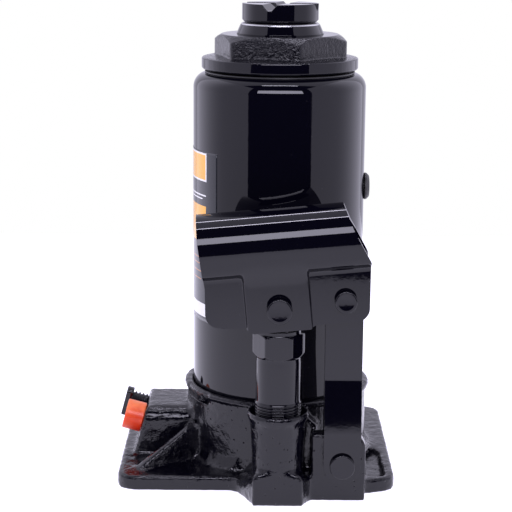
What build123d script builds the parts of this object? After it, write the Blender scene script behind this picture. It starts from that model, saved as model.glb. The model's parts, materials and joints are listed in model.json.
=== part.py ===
from build123d import *
from math import cos, radians, sin, sqrt, tan
import os

# Hydraulic bottle jack, 12 t class, built as the separate pieces it comes apart into.
# Origin: where the ram's axis meets the plane of the base's underside.
# +Z is the lifting direction, -Y faces the hand pump, +X faces the oil filler. Millimetres.

os.makedirs("parts", exist_ok=True)

# ---------------------------------------------------------------- driving dimensions
CLOSED_HEIGHT = 230.0        # underside of the base to the top of the saddle
RUNNING_GAP = 0.05           # radial gap of a running fit
CLEAR = 0.3                  # gap between pieces of different bodies

PLATE_LEFT = -77.5           # foot plate of the base casting
PLATE_RIGHT = 57.0
PLATE_FRONT = -50.0
PLATE_BACK = 62.0
PLATE_THICK = 7.0

COLLAR_R = 45.0              # casting round the foot of the tank
COLLAR_LIP_R = 46.6
COLLAR_TOP = 43.0
CHAMBER_FLOOR = 18.0         # floor of the ram chamber

TANK_R = 42.0
TANK_WALL = 3.0
TANK_FOOT = 31.0
TANK_TOP = 197.0
TANK_SHOULDER_R = 9.0
FILLER_Z = 141.0             # filler hole in the tank's wall
FILLER_R = 4.5

CYLINDER_R = 26.0            # pressure cylinder, outside and bore
TANK_MOUTH_R = CYLINDER_R + 0.2
CYLINDER_BORE_R = 21.0
CYLINDER_FOOT = 19.5
CYLINDER_TOP = 208.0

FLANGE_R = 38.0              # tank nut
FLANGE_FOOT = 197.6
FLANGE_TOP = 204.5
HEX_FOOT = 206.5
HEX_ACROSS_CORNERS_R = 33.5
HEX_TOP = 215.4
HEX_TURN = -15.0             # one corner of the hexagon, degrees from +X

RAM_R = 19.0
RAM_FOOT = 26.0
RAM_TOP = 220.7
PISTON_TOP = 57.7
SCREW_R = 12.0               # shank of the extension screw
SCREW_FOOT = 95.0
SADDLE_R = 18.5
SADDLE_FOOT = 221.0

PUMP_Y = -57.6               # the pump's axis crosses the base at x = 0
PUMP_BODY_R = 10.6
PUMP_THREAD_R = 11.0
PUMP_HEX_FLATS = 22.0
PUMP_FOOT = 24.0
PUMP_TOP = 84.0
PLUNGER_R = 6.0

LINK_X = 30.3                # the link's two pins lie on this line
LINK_LOW_Z = 18.7
LINK_HIGH_Z = 99.7
LINK_PLATE_THICK = 3.5
LINK_END_R = 8.7
EAR_HALF = 4.0               # half thickness of the ear between the link plates

SOCKET_TILT = 5.4            # the barrel rises by this towards +X, degrees
SOCKET_SHEET = 3.0
BARREL_R = 15.2
BARREL_RISE = 28.3           # barrel axis above the link's upper pin, square to the barrel
PLUNGER_PIN_Z = 95.7

VALVE_TILT = 15.0            # both valves point to -X and rise by this, degrees
VALVE_FACE_X = -67.1         # where the valve axes leave the casting
VALVE_FACE_Z = 23.0
OVERLOAD_Y = -9.0
RELEASE_Y = 10.0

# ---------------------------------------------------------------- frames of the tilted groups
TILT = radians(SOCKET_TILT)
VALVE = radians(VALVE_TILT)
SOCKET = Plane(
    origin=(LINK_X, PUMP_Y, LINK_HIGH_Z),
    x_dir=(0, 1, 0),
    z_dir=(cos(TILT), 0, sin(TILT)),
)


def socket_section(along):
    """Plane square to the barrel: its x runs to +Y, its y up, at a distance along the barrel."""
    return SOCKET.offset(along)


def socket_front():
    """Plane parallel to the flaps through the pump's axis: x along the barrel, y up."""
    return Plane(
        origin=(LINK_X, PUMP_Y, LINK_HIGH_Z),
        x_dir=(cos(TILT), 0, sin(TILT)),
        z_dir=(0, -1, 0),
    )


def valve_plane(across, outwards):
    """Plane square to a valve's axis, its z pointing out of the casting."""
    return Plane(
        origin=(
            VALVE_FACE_X - outwards * cos(VALVE),
            across,
            VALVE_FACE_Z + outwards * sin(VALVE),
        ),
        x_dir=(0, 1, 0),
        z_dir=(-cos(VALVE), 0, sin(VALVE)),
    )


def front_plane(y):
    """Upright plane at a given y: its x runs to +X, its y up, its z to -Y."""
    return Plane(origin=(0, y, 0), x_dir=(1, 0, 0), z_dir=(0, -1, 0))


def pump_plane(z):
    """Level plane centred on the pump's axis."""
    return Plane(origin=(0, PUMP_Y, z), x_dir=(1, 0, 0), z_dir=(0, 0, 1))


def ring(plane, outer, inner, height):
    """A plain ring or washer standing on a plane."""
    with BuildPart() as piece:
        with BuildSketch(plane):
            Circle(outer)
            Circle(inner, mode=Mode.SUBTRACT)
        extrude(amount=height)
    return piece


def round_ring(plane, middle, wire):
    """An O-ring of the given middle radius, lying on a plane."""
    with BuildPart() as piece:
        with BuildSketch(Plane(origin=plane.origin, x_dir=plane.x_dir, z_dir=-plane.y_dir)):
            with Locations((middle, wire)):
                Circle(wire)
        revolve(axis=Axis(plane.origin, plane.z_dir))
    return piece


def ball(centre, radius):
    """A check ball."""
    with BuildPart() as piece:
        with Locations(centre):
            Sphere(radius)
    return piece


def coil_spring(plane, middle, wire, height, turns):
    """A compression spring that stands on a plane between two seats."""
    rise = height - 2 * wire
    with BuildPart() as piece:
        with BuildLine() as coil:
            Helix(pitch=rise / turns, height=rise, radius=middle)
        with BuildSketch(Plane(origin=(middle, 0, 0), z_dir=(0, 1, 0))) as section:
            Circle(wire)
        sweep(section.sketch, path=coil.line, is_frenet=True)
    piece.part = plane.offset(wire).location * piece.part
    return piece


def snap_ring(y, x, z, shaft_r):
    """A thin ring that holds a pin's rear end, with its faces square to Y."""
    return ring(
        Plane(origin=(x, y, z), x_dir=(1, 0, 0), z_dir=(0, -1, 0)),
        shaft_r + 1.8,
        shaft_r,
        0.8,
    )


# ---------------------------------------------------------------- base casting
VALVE_BOSS_FRONT = -19.0
VALVE_BOSS_BACK = 20.0
VALVE_BOSS_TOP = 31.0
VALVE_BOSS_ROOT_X = -20.0
FOOT_FRONT = -70.0
FOOT_HALF = 12.0
FOOT_TOP = 16.0
EAR_LEFT = 16.0
EAR_RIGHT = 41.6
EAR_TOP = 33.0
BOSS_TOP = 44.6
RIB_ANGLE = 210.0
RIB_THICK = 4.6
RIB_TOP = 28.5
GROUND_TOP = 12.0            # raised ground round the pump's foot
GROUND_LEFT = -20.0
TANK_SEAT = 30.0
TANK_SEAT_GAP = 0.15
CORE_TOP = 34.0
CORE_R = 38.8

# drillings of the casting: three sizes, so that no two of them meet in one edge
PUMP_BORE_FLOOR = 22.0
DELIVERY_FLOOR = 20.0        # delivery chamber over the inlet ball
INLET_SEAT = 15.0
SUCTION_FOOT = 8.5
SUCTION_X = 12.0             # suction hole in the floor of the oil space
SUCTION_Y = -28.0
STRAINER_SEAT = CORE_TOP - 3
OUTLET_Y = -42.0
OUTLET_SEAT = 17.0
OUTLET_BORE_R = 4.2
DELIVERY_Z = 21.0            # level duct from the delivery chamber to the outlet ball
CHAMBER_FEED_Z = 12.0        # level duct from the outlet ball to the ram chamber
CHAMBER_FEED_Y = -23.0
DUCT_R = 1.75
SUCTION_SEAT_R = 1.8
BALL_SEAT_R = 1.5
VALVE_BORE_DEEP = 28.0
BALL_SEAT = -36.5            # along a valve's axis from the casting's face
OVERLOAD_BORE_R = 5.0
RELEASE_BORE_R = 6.0
VALVE_FEED_X = -21.5         # duct from the ram chamber to the balls
VALVE_RETURN_X = -33.5       # duct from behind the balls to the oil space
LOW_PIN_R = 5.0

with BuildPart() as base:
    # foot plate, swept out at the front to the pump's foot and the link's ear
    with BuildSketch(Plane.XY):
        with BuildLine():
            Polyline(
                (PLATE_LEFT, PLATE_FRONT),
                (GROUND_LEFT, PLATE_FRONT),
                (-FOOT_HALF, FOOT_FRONT + 2),
                (FOOT_HALF, FOOT_FRONT + 2),
                (EAR_LEFT, PUMP_Y - EAR_HALF),
                (EAR_RIGHT, PUMP_Y - EAR_HALF),
                (EAR_RIGHT, PLATE_FRONT - 3),
                (PLATE_RIGHT, PLATE_FRONT + 2),
                (PLATE_RIGHT, PLATE_BACK),
                (PLATE_LEFT, PLATE_BACK),
                close=True,
            )
        make_face()
        corners = vertices().filter_by(lambda v: abs(v.X) > 50)
        fillet(corners, radius=9)
        sweep_in = vertices().filter_by(lambda v: abs(v.X - GROUND_LEFT) < 1)
        fillet(sweep_in, radius=8)
    extrude(amount=PLATE_THICK)
    # raised ground under the pump boss and the ear
    with BuildSketch(Plane.XY):
        with BuildLine():
            Polyline(
                (GROUND_LEFT, PLATE_FRONT),
                (-FOOT_HALF, FOOT_FRONT + 2),
                (FOOT_HALF, FOOT_FRONT + 2),
                (EAR_LEFT, PUMP_Y - EAR_HALF),
                (EAR_LEFT, -38),
                (GROUND_LEFT, -38),
                close=True,
            )
        make_face()
    extrude(amount=GROUND_TOP)
    # collar round the tank, with a rounded lip
    with BuildSketch(Plane.XZ):
        with BuildLine():
            Polyline(
                (0, 0),
                (COLLAR_R + 5, 0),
                (COLLAR_R + 5, PLATE_THICK - 0.5),
                (COLLAR_R + 2, PLATE_THICK + 1.5),
                (COLLAR_R, PLATE_THICK + 6),
                (COLLAR_R, 36.5),
                (COLLAR_LIP_R, 38.3),
                (COLLAR_LIP_R, COLLAR_TOP - 1.6),
                (COLLAR_LIP_R - 0.6, COLLAR_TOP - 0.5),
                (COLLAR_LIP_R - 1.8, COLLAR_TOP),
                (0, COLLAR_TOP),
                close=True,
            )
        make_face()
    revolve(axis=Axis.Z)
    # valve boss with its sloping end face
    with BuildSketch(front_plane(VALVE_BOSS_FRONT)):
        with BuildLine():
            Polyline(
                (VALVE_BOSS_ROOT_X, 0),
                (VALVE_FACE_X - VALVE_FACE_Z * tan(VALVE), 0),
                (VALVE_FACE_X + (VALVE_BOSS_TOP - VALVE_FACE_Z) * tan(VALVE), VALVE_BOSS_TOP),
                (VALVE_BOSS_ROOT_X, VALVE_BOSS_TOP),
                close=True,
            )
        make_face()
        fillet(vertices().group_by(Axis.Y)[-1].sort_by(Axis.X)[0], radius=3)
    extrude(amount=-(VALVE_BOSS_BACK - VALVE_BOSS_FRONT))
    # gusset ribs from the collar down to the plate's left corners
    for rib_angle in (RIB_ANGLE, -RIB_ANGLE):
        a = radians(rib_angle)
        rib_plane = Plane(origin=(0, 0, 0), x_dir=(cos(a), sin(a), 0), z_dir=(sin(a), -cos(a), 0))
        with BuildSketch(rib_plane):
            with BuildLine():
                Polyline((30, 0), (80, 0), (80, PLATE_THICK), (44, RIB_TOP), (30, RIB_TOP), close=True)
            make_face()
        extrude(amount=RIB_THICK / 2, both=True)
    # pump boss: a slightly flared post on a flat-fronted foot
    with BuildSketch(front_plane(PUMP_Y)):
        with BuildLine():
            Polyline(
                (0, 0),
                (12.2, 0),
                (12.4, 24),
                (13.2, 38),
                (14.8, BOSS_TOP - 2.6),
                (13.6, BOSS_TOP),
                (0, BOSS_TOP),
                close=True,
            )
        make_face()
    revolve(axis=Axis((0, PUMP_Y, 0), (0, 0, 1)))
    with BuildSketch(front_plane(FOOT_FRONT)):
        with Locations((0, FOOT_TOP / 2)):
            Rectangle(2 * FOOT_HALF, FOOT_TOP)
        fillet(vertices().group_by(Axis.Y)[-1], radius=3.5)
    extrude(amount=-20)
    with BuildSketch(front_plane(PUMP_Y)):
        with Locations((0, 20)):
            Rectangle(21, 40)
    extrude(amount=-16)
    # web between the pump boss and the ear
    with BuildSketch(front_plane(PUMP_Y + 6)):
        with BuildLine():
            Polyline((0, 0), (19, 0), (19, 34), (12, 40), (0, 40), close=True)
        make_face()
    extrude(amount=-12)
    # ear between the two link plates, and the block under it
    with BuildSketch(front_plane(PUMP_Y - EAR_HALF)):
        with Locations(((EAR_LEFT + EAR_RIGHT) / 2, EAR_TOP / 2)):
            Rectangle(EAR_RIGHT - EAR_LEFT, EAR_TOP)
        fillet(vertices().group_by(Axis.Y)[-1].sort_by(Axis.X)[-1], radius=7)
    extrude(amount=-2 * EAR_HALF)
    with BuildSketch(front_plane(PUMP_Y - EAR_HALF)):
        with Locations(((EAR_LEFT + EAR_RIGHT) / 2 - 2, 4.5)):
            Rectangle(EAR_RIGHT - EAR_LEFT + 4, 9)
    extrude(amount=-25)
    # shallow pocket beside the ear
    with BuildSketch(Plane.XY.offset(PLATE_THICK)):
        with BuildLine():
            Polyline((EAR_RIGHT + 1, -46), (52, -46), (52, -14), (47.5, -4), (43, -14), close=True)
        make_face()
        fillet(vertices(), radius=2)
    extrude(amount=-2.5, mode=Mode.SUBTRACT)
    # seat of the tank, core of the casting and bore for the pressure cylinder
    with BuildSketch(Plane.XY.offset(CORE_TOP)):
        Circle(TANK_R + TANK_SEAT_GAP)
    extrude(amount=COLLAR_TOP - CORE_TOP, mode=Mode.SUBTRACT)
    with BuildSketch(Plane.XY.offset(TANK_SEAT)):
        Circle(TANK_R + TANK_SEAT_GAP)
        Circle(CORE_R, mode=Mode.SUBTRACT)
    extrude(amount=CORE_TOP - TANK_SEAT, mode=Mode.SUBTRACT)
    with BuildSketch(Plane.XY.offset(CHAMBER_FLOOR)):
        Circle(CYLINDER_R + RUNNING_GAP)
    extrude(amount=CORE_TOP - CHAMBER_FLOOR, mode=Mode.SUBTRACT)
    # pump bore with its dished mouth, delivery chamber and inlet ball pocket
    with BuildSketch(pump_plane(PUMP_BORE_FLOOR)):
        Circle(PUMP_THREAD_R + RUNNING_GAP)
    extrude(amount=BOSS_TOP - PUMP_BORE_FLOOR, mode=Mode.SUBTRACT)
    with BuildSketch(pump_plane(BOSS_TOP)):
        Circle(13)
    extrude(amount=-2.2, taper=40, mode=Mode.SUBTRACT)
    with BuildSketch(pump_plane(DELIVERY_FLOOR)):
        Circle(6)
    extrude(amount=PUMP_BORE_FLOOR - DELIVERY_FLOOR, mode=Mode.SUBTRACT)
    with BuildSketch(pump_plane(INLET_SEAT)):
        Circle(4)
    extrude(amount=DELIVERY_FLOOR - INLET_SEAT, mode=Mode.SUBTRACT)
    # suction duct: down from the oil space, then up under the inlet ball
    with BuildSketch(pump_plane(SUCTION_FOOT)):
        Circle(SUCTION_SEAT_R)
    extrude(amount=INLET_SEAT - SUCTION_FOOT, mode=Mode.SUBTRACT)
    suction_start = Vector(0, PUMP_Y, SUCTION_FOOT + 1)
    suction_run = Vector(SUCTION_X, SUCTION_Y, CORE_TOP + 1) - suction_start
    with BuildSketch(Plane(origin=suction_start, z_dir=suction_run)):
        Circle(DUCT_R)
    extrude(amount=suction_run.length, mode=Mode.SUBTRACT)
    with BuildSketch(Plane(origin=(SUCTION_X, SUCTION_Y, STRAINER_SEAT))):
        Circle(3.05)
    extrude(amount=CORE_TOP - STRAINER_SEAT, mode=Mode.SUBTRACT)
    # delivery duct, outlet ball pocket, and the way up into the ram chamber
    with BuildSketch(front_plane(PUMP_Y)):
        with Locations((0, DELIVERY_Z)):
            Circle(1.2)
    extrude(amount=PUMP_Y - OUTLET_Y - 1, mode=Mode.SUBTRACT)
    with BuildSketch(Plane(origin=(0, OUTLET_Y, 0))):
        Circle(OUTLET_BORE_R)
    extrude(amount=OUTLET_SEAT, mode=Mode.SUBTRACT)
    with BuildSketch(Plane(origin=(0, OUTLET_Y, OUTLET_SEAT))):
        Circle(BALL_SEAT_R)
    extrude(amount=5.6, mode=Mode.SUBTRACT)
    with BuildSketch(front_plane(OUTLET_Y)):
        with Locations((0, CHAMBER_FEED_Z)):
            Circle(DUCT_R)
    extrude(amount=-22, mode=Mode.SUBTRACT)
    with BuildSketch(Plane(origin=(0, CHAMBER_FEED_Y, CHAMBER_FEED_Z))):
        Circle(1.4)
    extrude(amount=CHAMBER_FLOOR - CHAMBER_FEED_Z, mode=Mode.SUBTRACT)
    # two valve bores, each with a ball pocket, a seat and two ducts
    for across, bore_r in ((OVERLOAD_Y, OVERLOAD_BORE_R), (RELEASE_Y, RELEASE_BORE_R)):
        with BuildSketch(valve_plane(across, 0)):
            Circle(bore_r + RUNNING_GAP)
        extrude(amount=-VALVE_BORE_DEEP, mode=Mode.SUBTRACT)
        with BuildSketch(valve_plane(across, -VALVE_BORE_DEEP)):
            Circle(3.6)
        extrude(amount=BALL_SEAT + VALVE_BORE_DEEP, mode=Mode.SUBTRACT)
        with BuildSketch(valve_plane(across, BALL_SEAT)):
            Circle(BALL_SEAT_R)
        extrude(amount=-12, mode=Mode.SUBTRACT)
        with BuildSketch(Plane(origin=(VALVE_FEED_X, across, 10.8))):
            Circle(1.2)
        extrude(amount=CHAMBER_FLOOR - 10.8, mode=Mode.SUBTRACT)
        with BuildSketch(Plane(origin=(VALVE_RETURN_X, across, 14.5))):
            Circle(DUCT_R)
        extrude(amount=CORE_TOP - 14.5, mode=Mode.SUBTRACT)
    # hole for the link's lower pin
    with BuildSketch(front_plane(PUMP_Y)):
        with Locations((LINK_X, LINK_LOW_Z)):
            Circle(LOW_PIN_R)
    extrude(amount=10, both=True, mode=Mode.SUBTRACT)
base.part.label = "base"
export_step(base.part, "parts/base.step")

# ---------------------------------------------------------------- tank and pressure cylinder
with BuildPart() as tank:
    with BuildSketch(Plane.XZ):
        with BuildLine():
            outer_wall = Line((TANK_R, TANK_FOOT), (TANK_R, TANK_TOP - TANK_SHOULDER_R))
            RadiusArc(outer_wall @ 1, (TANK_R - TANK_SHOULDER_R, TANK_TOP), -TANK_SHOULDER_R)
            Polyline(
                (TANK_R - TANK_SHOULDER_R, TANK_TOP),
                (TANK_MOUTH_R, TANK_TOP),
                (TANK_MOUTH_R, TANK_TOP - TANK_WALL),
                (TANK_R - TANK_SHOULDER_R, TANK_TOP - TANK_WALL),
            )
            RadiusArc(
                (TANK_R - TANK_SHOULDER_R, TANK_TOP - TANK_WALL),
                (TANK_R - TANK_WALL, TANK_TOP - TANK_SHOULDER_R),
                TANK_SHOULDER_R - TANK_WALL,
            )
            Polyline(
                (TANK_R - TANK_WALL, TANK_TOP - TANK_SHOULDER_R),
                (TANK_R - TANK_WALL, TANK_FOOT),
                outer_wall @ 0,
            )
        make_face()
    revolve(axis=Axis.Z)
    # filler hole
    with BuildSketch(Plane.YZ):
        with Locations((0, FILLER_Z)):
            Circle(FILLER_R)
    extrude(amount=TANK_R + 1, mode=Mode.SUBTRACT)
tank.part.label = "tank"
export_step(tank.part, "parts/tank.step")

tank_foot_gasket = ring(Plane.XY.offset(TANK_SEAT), TANK_R, TANK_R - TANK_WALL, TANK_FOOT - TANK_SEAT)
tank_foot_gasket.part.label = "tank_foot_gasket"
export_step(tank_foot_gasket.part, "parts/tank_foot_gasket.step")

tank_top_gasket = ring(Plane.XY.offset(TANK_TOP), 36.4, 27.0, FLANGE_FOOT - TANK_TOP)
tank_top_gasket.part.label = "tank_top_gasket"
export_step(tank_top_gasket.part, "parts/tank_top_gasket.step")

pressure_cylinder = ring(
    Plane.XY.offset(CYLINDER_FOOT), CYLINDER_R, CYLINDER_BORE_R, CYLINDER_TOP - CYLINDER_FOOT
)
pressure_cylinder.part.label = "pressure_cylinder"
export_step(pressure_cylinder.part, "parts/pressure_cylinder.step")

cylinder_seal_ring = ring(
    Plane.XY.offset(CHAMBER_FLOOR), CYLINDER_R, CYLINDER_BORE_R + 0.5, CYLINDER_FOOT - CHAMBER_FLOOR
)
cylinder_seal_ring.part.label = "cylinder_seal_ring"
export_step(cylinder_seal_ring.part, "parts/cylinder_seal_ring.step")

# ---------------------------------------------------------------- tank nut, wiper and its seal
WIPER_SEAT = 213.0
WIPER_TOP = 219.9
SEAL_FOOT = 209.6
SEAL_WIRE = 1.2
WIPER_R = 21.0
NUT_BORE_R = CYLINDER_R + RUNNING_GAP
HEX_CONE_R = HEX_ACROSS_CORNERS_R * cos(radians(30)) - 0.6
HEX_CONE_DROP = 3.2

with BuildPart() as tank_nut:
    with BuildSketch(Plane.XZ):
        with BuildLine():
            Polyline(
                (NUT_BORE_R, FLANGE_FOOT),
                (FLANGE_R - 0.8, FLANGE_FOOT),
                (FLANGE_R, FLANGE_FOOT + 2.2),
                (FLANGE_R, FLANGE_TOP - 0.6),
                (FLANGE_R - 0.6, FLANGE_TOP),
                (HEX_ACROSS_CORNERS_R - 4, HEX_FOOT),
                (NUT_BORE_R, HEX_FOOT),
                close=True,
            )
        make_face()
    revolve(axis=Axis.Z)
    with BuildSketch(Plane.XY.offset(FLANGE_TOP)):
        RegularPolygon(HEX_ACROSS_CORNERS_R, 6, rotation=HEX_TURN)
        Circle(NUT_BORE_R, mode=Mode.SUBTRACT)
    extrude(amount=HEX_TOP - FLANGE_TOP)
    with BuildSketch(Plane.XY.offset(CYLINDER_TOP)):
        Circle(CYLINDER_R + 1)
        Circle(RAM_R + RUNNING_GAP, mode=Mode.SUBTRACT)
    extrude(amount=HEX_TOP - CYLINDER_TOP)
    # cone that takes the hexagon's upper corners off
    with BuildSketch(Plane.XZ):
        with BuildLine():
            Polyline(
                (HEX_CONE_R, HEX_TOP),
                (HEX_ACROSS_CORNERS_R + 4, HEX_TOP - HEX_CONE_DROP),
                (HEX_ACROSS_CORNERS_R + 4, HEX_TOP + 1),
                (HEX_CONE_R, HEX_TOP + 1),
                close=True,
            )
        make_face()
    revolve(axis=Axis.Z, mode=Mode.SUBTRACT)
    # wiper seat and O-ring groove
    with BuildSketch(Plane.XY.offset(WIPER_SEAT)):
        Circle(WIPER_R)
    extrude(amount=HEX_TOP - WIPER_SEAT, mode=Mode.SUBTRACT)
    with BuildSketch(Plane.XY.offset(SEAL_FOOT)):
        Circle(RAM_R + 2 * SEAL_WIRE + 0.1)
    extrude(amount=2 * SEAL_WIRE, mode=Mode.SUBTRACT)
tank_nut.part.label = "tank_nut"
export_step(tank_nut.part, "parts/tank_nut.step")

with BuildPart() as ram_wiper:
    with BuildSketch(Plane.XZ):
        with BuildLine():
            Polyline(
                (RAM_R + RUNNING_GAP, WIPER_SEAT),
                (WIPER_R, WIPER_SEAT),
                (WIPER_R, HEX_TOP + 0.2),
                (RAM_R + 0.9, WIPER_TOP - 0.4),
                (RAM_R + 0.6, WIPER_TOP),
                (RAM_R + RUNNING_GAP, WIPER_TOP),
                close=True,
            )
        make_face()
    revolve(axis=Axis.Z)
ram_wiper.part.label = "ram_wiper"
export_step(ram_wiper.part, "parts/ram_wiper.step")

ram_o_ring = round_ring(Plane.XY.offset(SEAL_FOOT), RAM_R + SEAL_WIRE + 0.05, SEAL_WIRE)
ram_o_ring.part.label = "ram_o_ring"
export_step(ram_o_ring.part, "parts/ram_o_ring.step")

# ---------------------------------------------------------------- ram with its piston seal
PISTON_R = CYLINDER_BORE_R - RUNNING_GAP
SEAL_SCREW_R = 6.0
SEAL_SCREW_DEEP = 20.0
WASHER_R = 10.0
WASHER_FOOT = 23.0
CUP_FOOT = 20.3
RAM_BORE_FOOT = 88.0

with BuildPart() as ram:
    with BuildSketch(Plane.XY.offset(RAM_FOOT)):
        Circle(PISTON_R)
    extrude(amount=PISTON_TOP - RAM_FOOT)
    with BuildSketch(Plane.XY.offset(PISTON_TOP)):
        Circle(RAM_R)
    extrude(amount=RAM_TOP - PISTON_TOP)
    chamfer(edges().filter_by(GeomType.CIRCLE).group_by(Axis.Z)[-1], length=0.8)
    with BuildSketch(Plane.XY.offset(RAM_BORE_FOOT)):
        Circle(SCREW_R + RUNNING_GAP)
    extrude(amount=RAM_TOP - RAM_BORE_FOOT, mode=Mode.SUBTRACT)
    with BuildSketch(Plane.XY.offset(RAM_FOOT)):
        Circle(SEAL_SCREW_R)
    extrude(amount=SEAL_SCREW_DEEP, mode=Mode.SUBTRACT)
ram.part.label = "ram"
export_step(ram.part, "parts/ram.step")

with BuildPart() as piston_cup:
    with BuildSketch(Plane.XZ):
        with BuildLine():
            Polyline(
                (WASHER_R, CUP_FOOT),
                (PISTON_R - 5, CUP_FOOT),
                (PISTON_R - 3.5, CUP_FOOT + 2.2),
                (PISTON_R - 2, CUP_FOOT),
                (PISTON_R, CUP_FOOT),
                (PISTON_R, RAM_FOOT),
                (WASHER_R, RAM_FOOT),
                close=True,
            )
        make_face()
    revolve(axis=Axis.Z)
piston_cup.part.label = "piston_cup"
export_step(piston_cup.part, "parts/piston_cup.step")

piston_washer = ring(Plane.XY.offset(WASHER_FOOT), WASHER_R, SEAL_SCREW_R, RAM_FOOT - WASHER_FOOT)
piston_washer.part.label = "piston_washer"
export_step(piston_washer.part, "parts/piston_washer.step")

with BuildPart() as piston_screw:
    with BuildSketch(Plane.XY.offset(CHAMBER_FLOOR + CLEAR)):
        Circle(WASHER_R - 0.2)
        RegularPolygon(4.5, 6, mode=Mode.SUBTRACT)
    extrude(amount=WASHER_FOOT - CHAMBER_FLOOR - CLEAR)
    with BuildSketch(Plane.XY.offset(WASHER_FOOT - 1)):
        Circle(SEAL_SCREW_R)
    extrude(amount=RAM_FOOT + SEAL_SCREW_DEEP - 1 - WASHER_FOOT)
piston_screw.part.label = "piston_screw"
export_step(piston_screw.part, "parts/piston_screw.step")

# ---------------------------------------------------------------- extension screw with its saddle
GROOVE_WIDTH = 7.5
GROOVE_DEPTH = 3.0
GROOVE_TURN = -17.4
GROOVE_FLOOR = 1.0           # half width of a groove's floor
STOP_RING_FOOT = SCREW_FOOT + 2
STOP_RING_THICK = 1.5
STOP_RING_DEEP = 1.2

with BuildPart() as extension_screw:
    with BuildSketch(Plane.XY.offset(SADDLE_FOOT)):
        Circle(SADDLE_R)
    extrude(amount=CLOSED_HEIGHT - SADDLE_FOOT)
    chamfer(edges().group_by(Axis.Z)[0], length=1.2)
    with BuildSketch(Plane.XY.offset(SCREW_FOOT)):
        Circle(SCREW_R)
    extrude(amount=SADDLE_FOOT - SCREW_FOOT + 1)
    with BuildSketch(Plane.XY.offset(STOP_RING_FOOT)):
        Circle(SCREW_R)
        Circle(SCREW_R - STOP_RING_DEEP, mode=Mode.SUBTRACT)
    extrude(amount=STOP_RING_THICK, mode=Mode.SUBTRACT)
    # V grooves across the saddle, square to each other
    for turn in (GROOVE_TURN, GROOVE_TURN + 90):
        a = radians(turn)
        with BuildSketch(Plane(origin=(0, 0, CLOSED_HEIGHT), x_dir=(-sin(a), cos(a), 0),
                               z_dir=(cos(a), sin(a), 0))):
            with BuildLine():
                Polyline(
                    (-GROOVE_WIDTH / 2, 0.01),
                    (-GROOVE_FLOOR, -GROOVE_DEPTH),
                    (GROOVE_FLOOR, -GROOVE_DEPTH),
                    (GROOVE_WIDTH / 2, 0.01),
                    close=True,
                )
            make_face()
        extrude(amount=SADDLE_R + 1, both=True, mode=Mode.SUBTRACT)
extension_screw.part.label = "extension_screw"
export_step(extension_screw.part, "parts/extension_screw.step")

screw_stop_ring = ring(
    Plane.XY.offset(STOP_RING_FOOT), SCREW_R - 0.1, SCREW_R - STOP_RING_DEEP, STOP_RING_THICK
)
screw_stop_ring.part.label = "screw_stop_ring"
export_step(screw_stop_ring.part, "parts/screw_stop_ring.step")

# ---------------------------------------------------------------- hand pump
PUMP_THREAD_TOP = 48.0
PUMP_HEX_FOOT = 72.0
PUMP_HEX_TOP = 82.0
PUMP_CONE_R = 14.4           # outside the hexagon's corners

with BuildPart() as pump_cylinder:
    with BuildSketch(pump_plane(PUMP_FOOT)):
        Circle(PUMP_THREAD_R)
    extrude(amount=PUMP_THREAD_TOP - PUMP_FOOT)
    with BuildSketch(pump_plane(PUMP_THREAD_TOP)):
        Circle(PUMP_BODY_R)
    extrude(amount=PUMP_TOP - PUMP_THREAD_TOP)
    with BuildSketch(pump_plane(PUMP_HEX_FOOT)):
        RegularPolygon(PUMP_HEX_FLATS / 2 / cos(radians(30)), 6)
    extrude(amount=PUMP_HEX_TOP - PUMP_HEX_FOOT)
    # cones that take the hexagon's corners off above and below
    with BuildSketch(front_plane(PUMP_Y)):
        with BuildLine():
            Polyline(
                (PUMP_BODY_R - 0.2, PUMP_HEX_FOOT - 2),
                (PUMP_CONE_R, PUMP_HEX_FOOT - 2),
                (PUMP_CONE_R, PUMP_HEX_FOOT + 4.4),
                (PUMP_BODY_R - 0.2, PUMP_HEX_FOOT - 0.4),
                close=True,
            )
        make_face()
        with BuildLine():
            Polyline(
                (PUMP_BODY_R + 0.2, PUMP_TOP + 0.5),
                (PUMP_CONE_R, PUMP_TOP + 0.5),
                (PUMP_CONE_R, PUMP_HEX_TOP - 2),
                (PUMP_BODY_R + 0.2, PUMP_HEX_TOP),
                close=True,
            )
        make_face()
    revolve(axis=Axis((0, PUMP_Y, 0), (0, 0, 1)), mode=Mode.SUBTRACT)
    with BuildSketch(pump_plane(PUMP_FOOT)):
        Circle(PLUNGER_R + RUNNING_GAP)
    extrude(amount=PUMP_TOP - PUMP_FOOT, mode=Mode.SUBTRACT)
pump_cylinder.part.label = "pump_cylinder"
export_step(pump_cylinder.part, "parts/pump_cylinder.step")

pump_washer = ring(pump_plane(PUMP_BORE_FLOOR), PUMP_THREAD_R, 6.5, PUMP_FOOT - PUMP_BORE_FLOOR)
pump_washer.part.label = "pump_washer"
export_step(pump_washer.part, "parts/pump_washer.step")

# the eye's hole is wider than the pin, because the pin swings on an arc
PLUNGER_PIN_R = 4.5
EYE_HOLE_R = 6.0
EYE_R = 10.0
EYE_HALF = 8.4
PLUNGER_FOOT = 25.0
RING_GROOVE_FOOT = 27.0
RING_GROOVE_TOP = 30.4
RING_GROOVE_DEEP = 1.9

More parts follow.
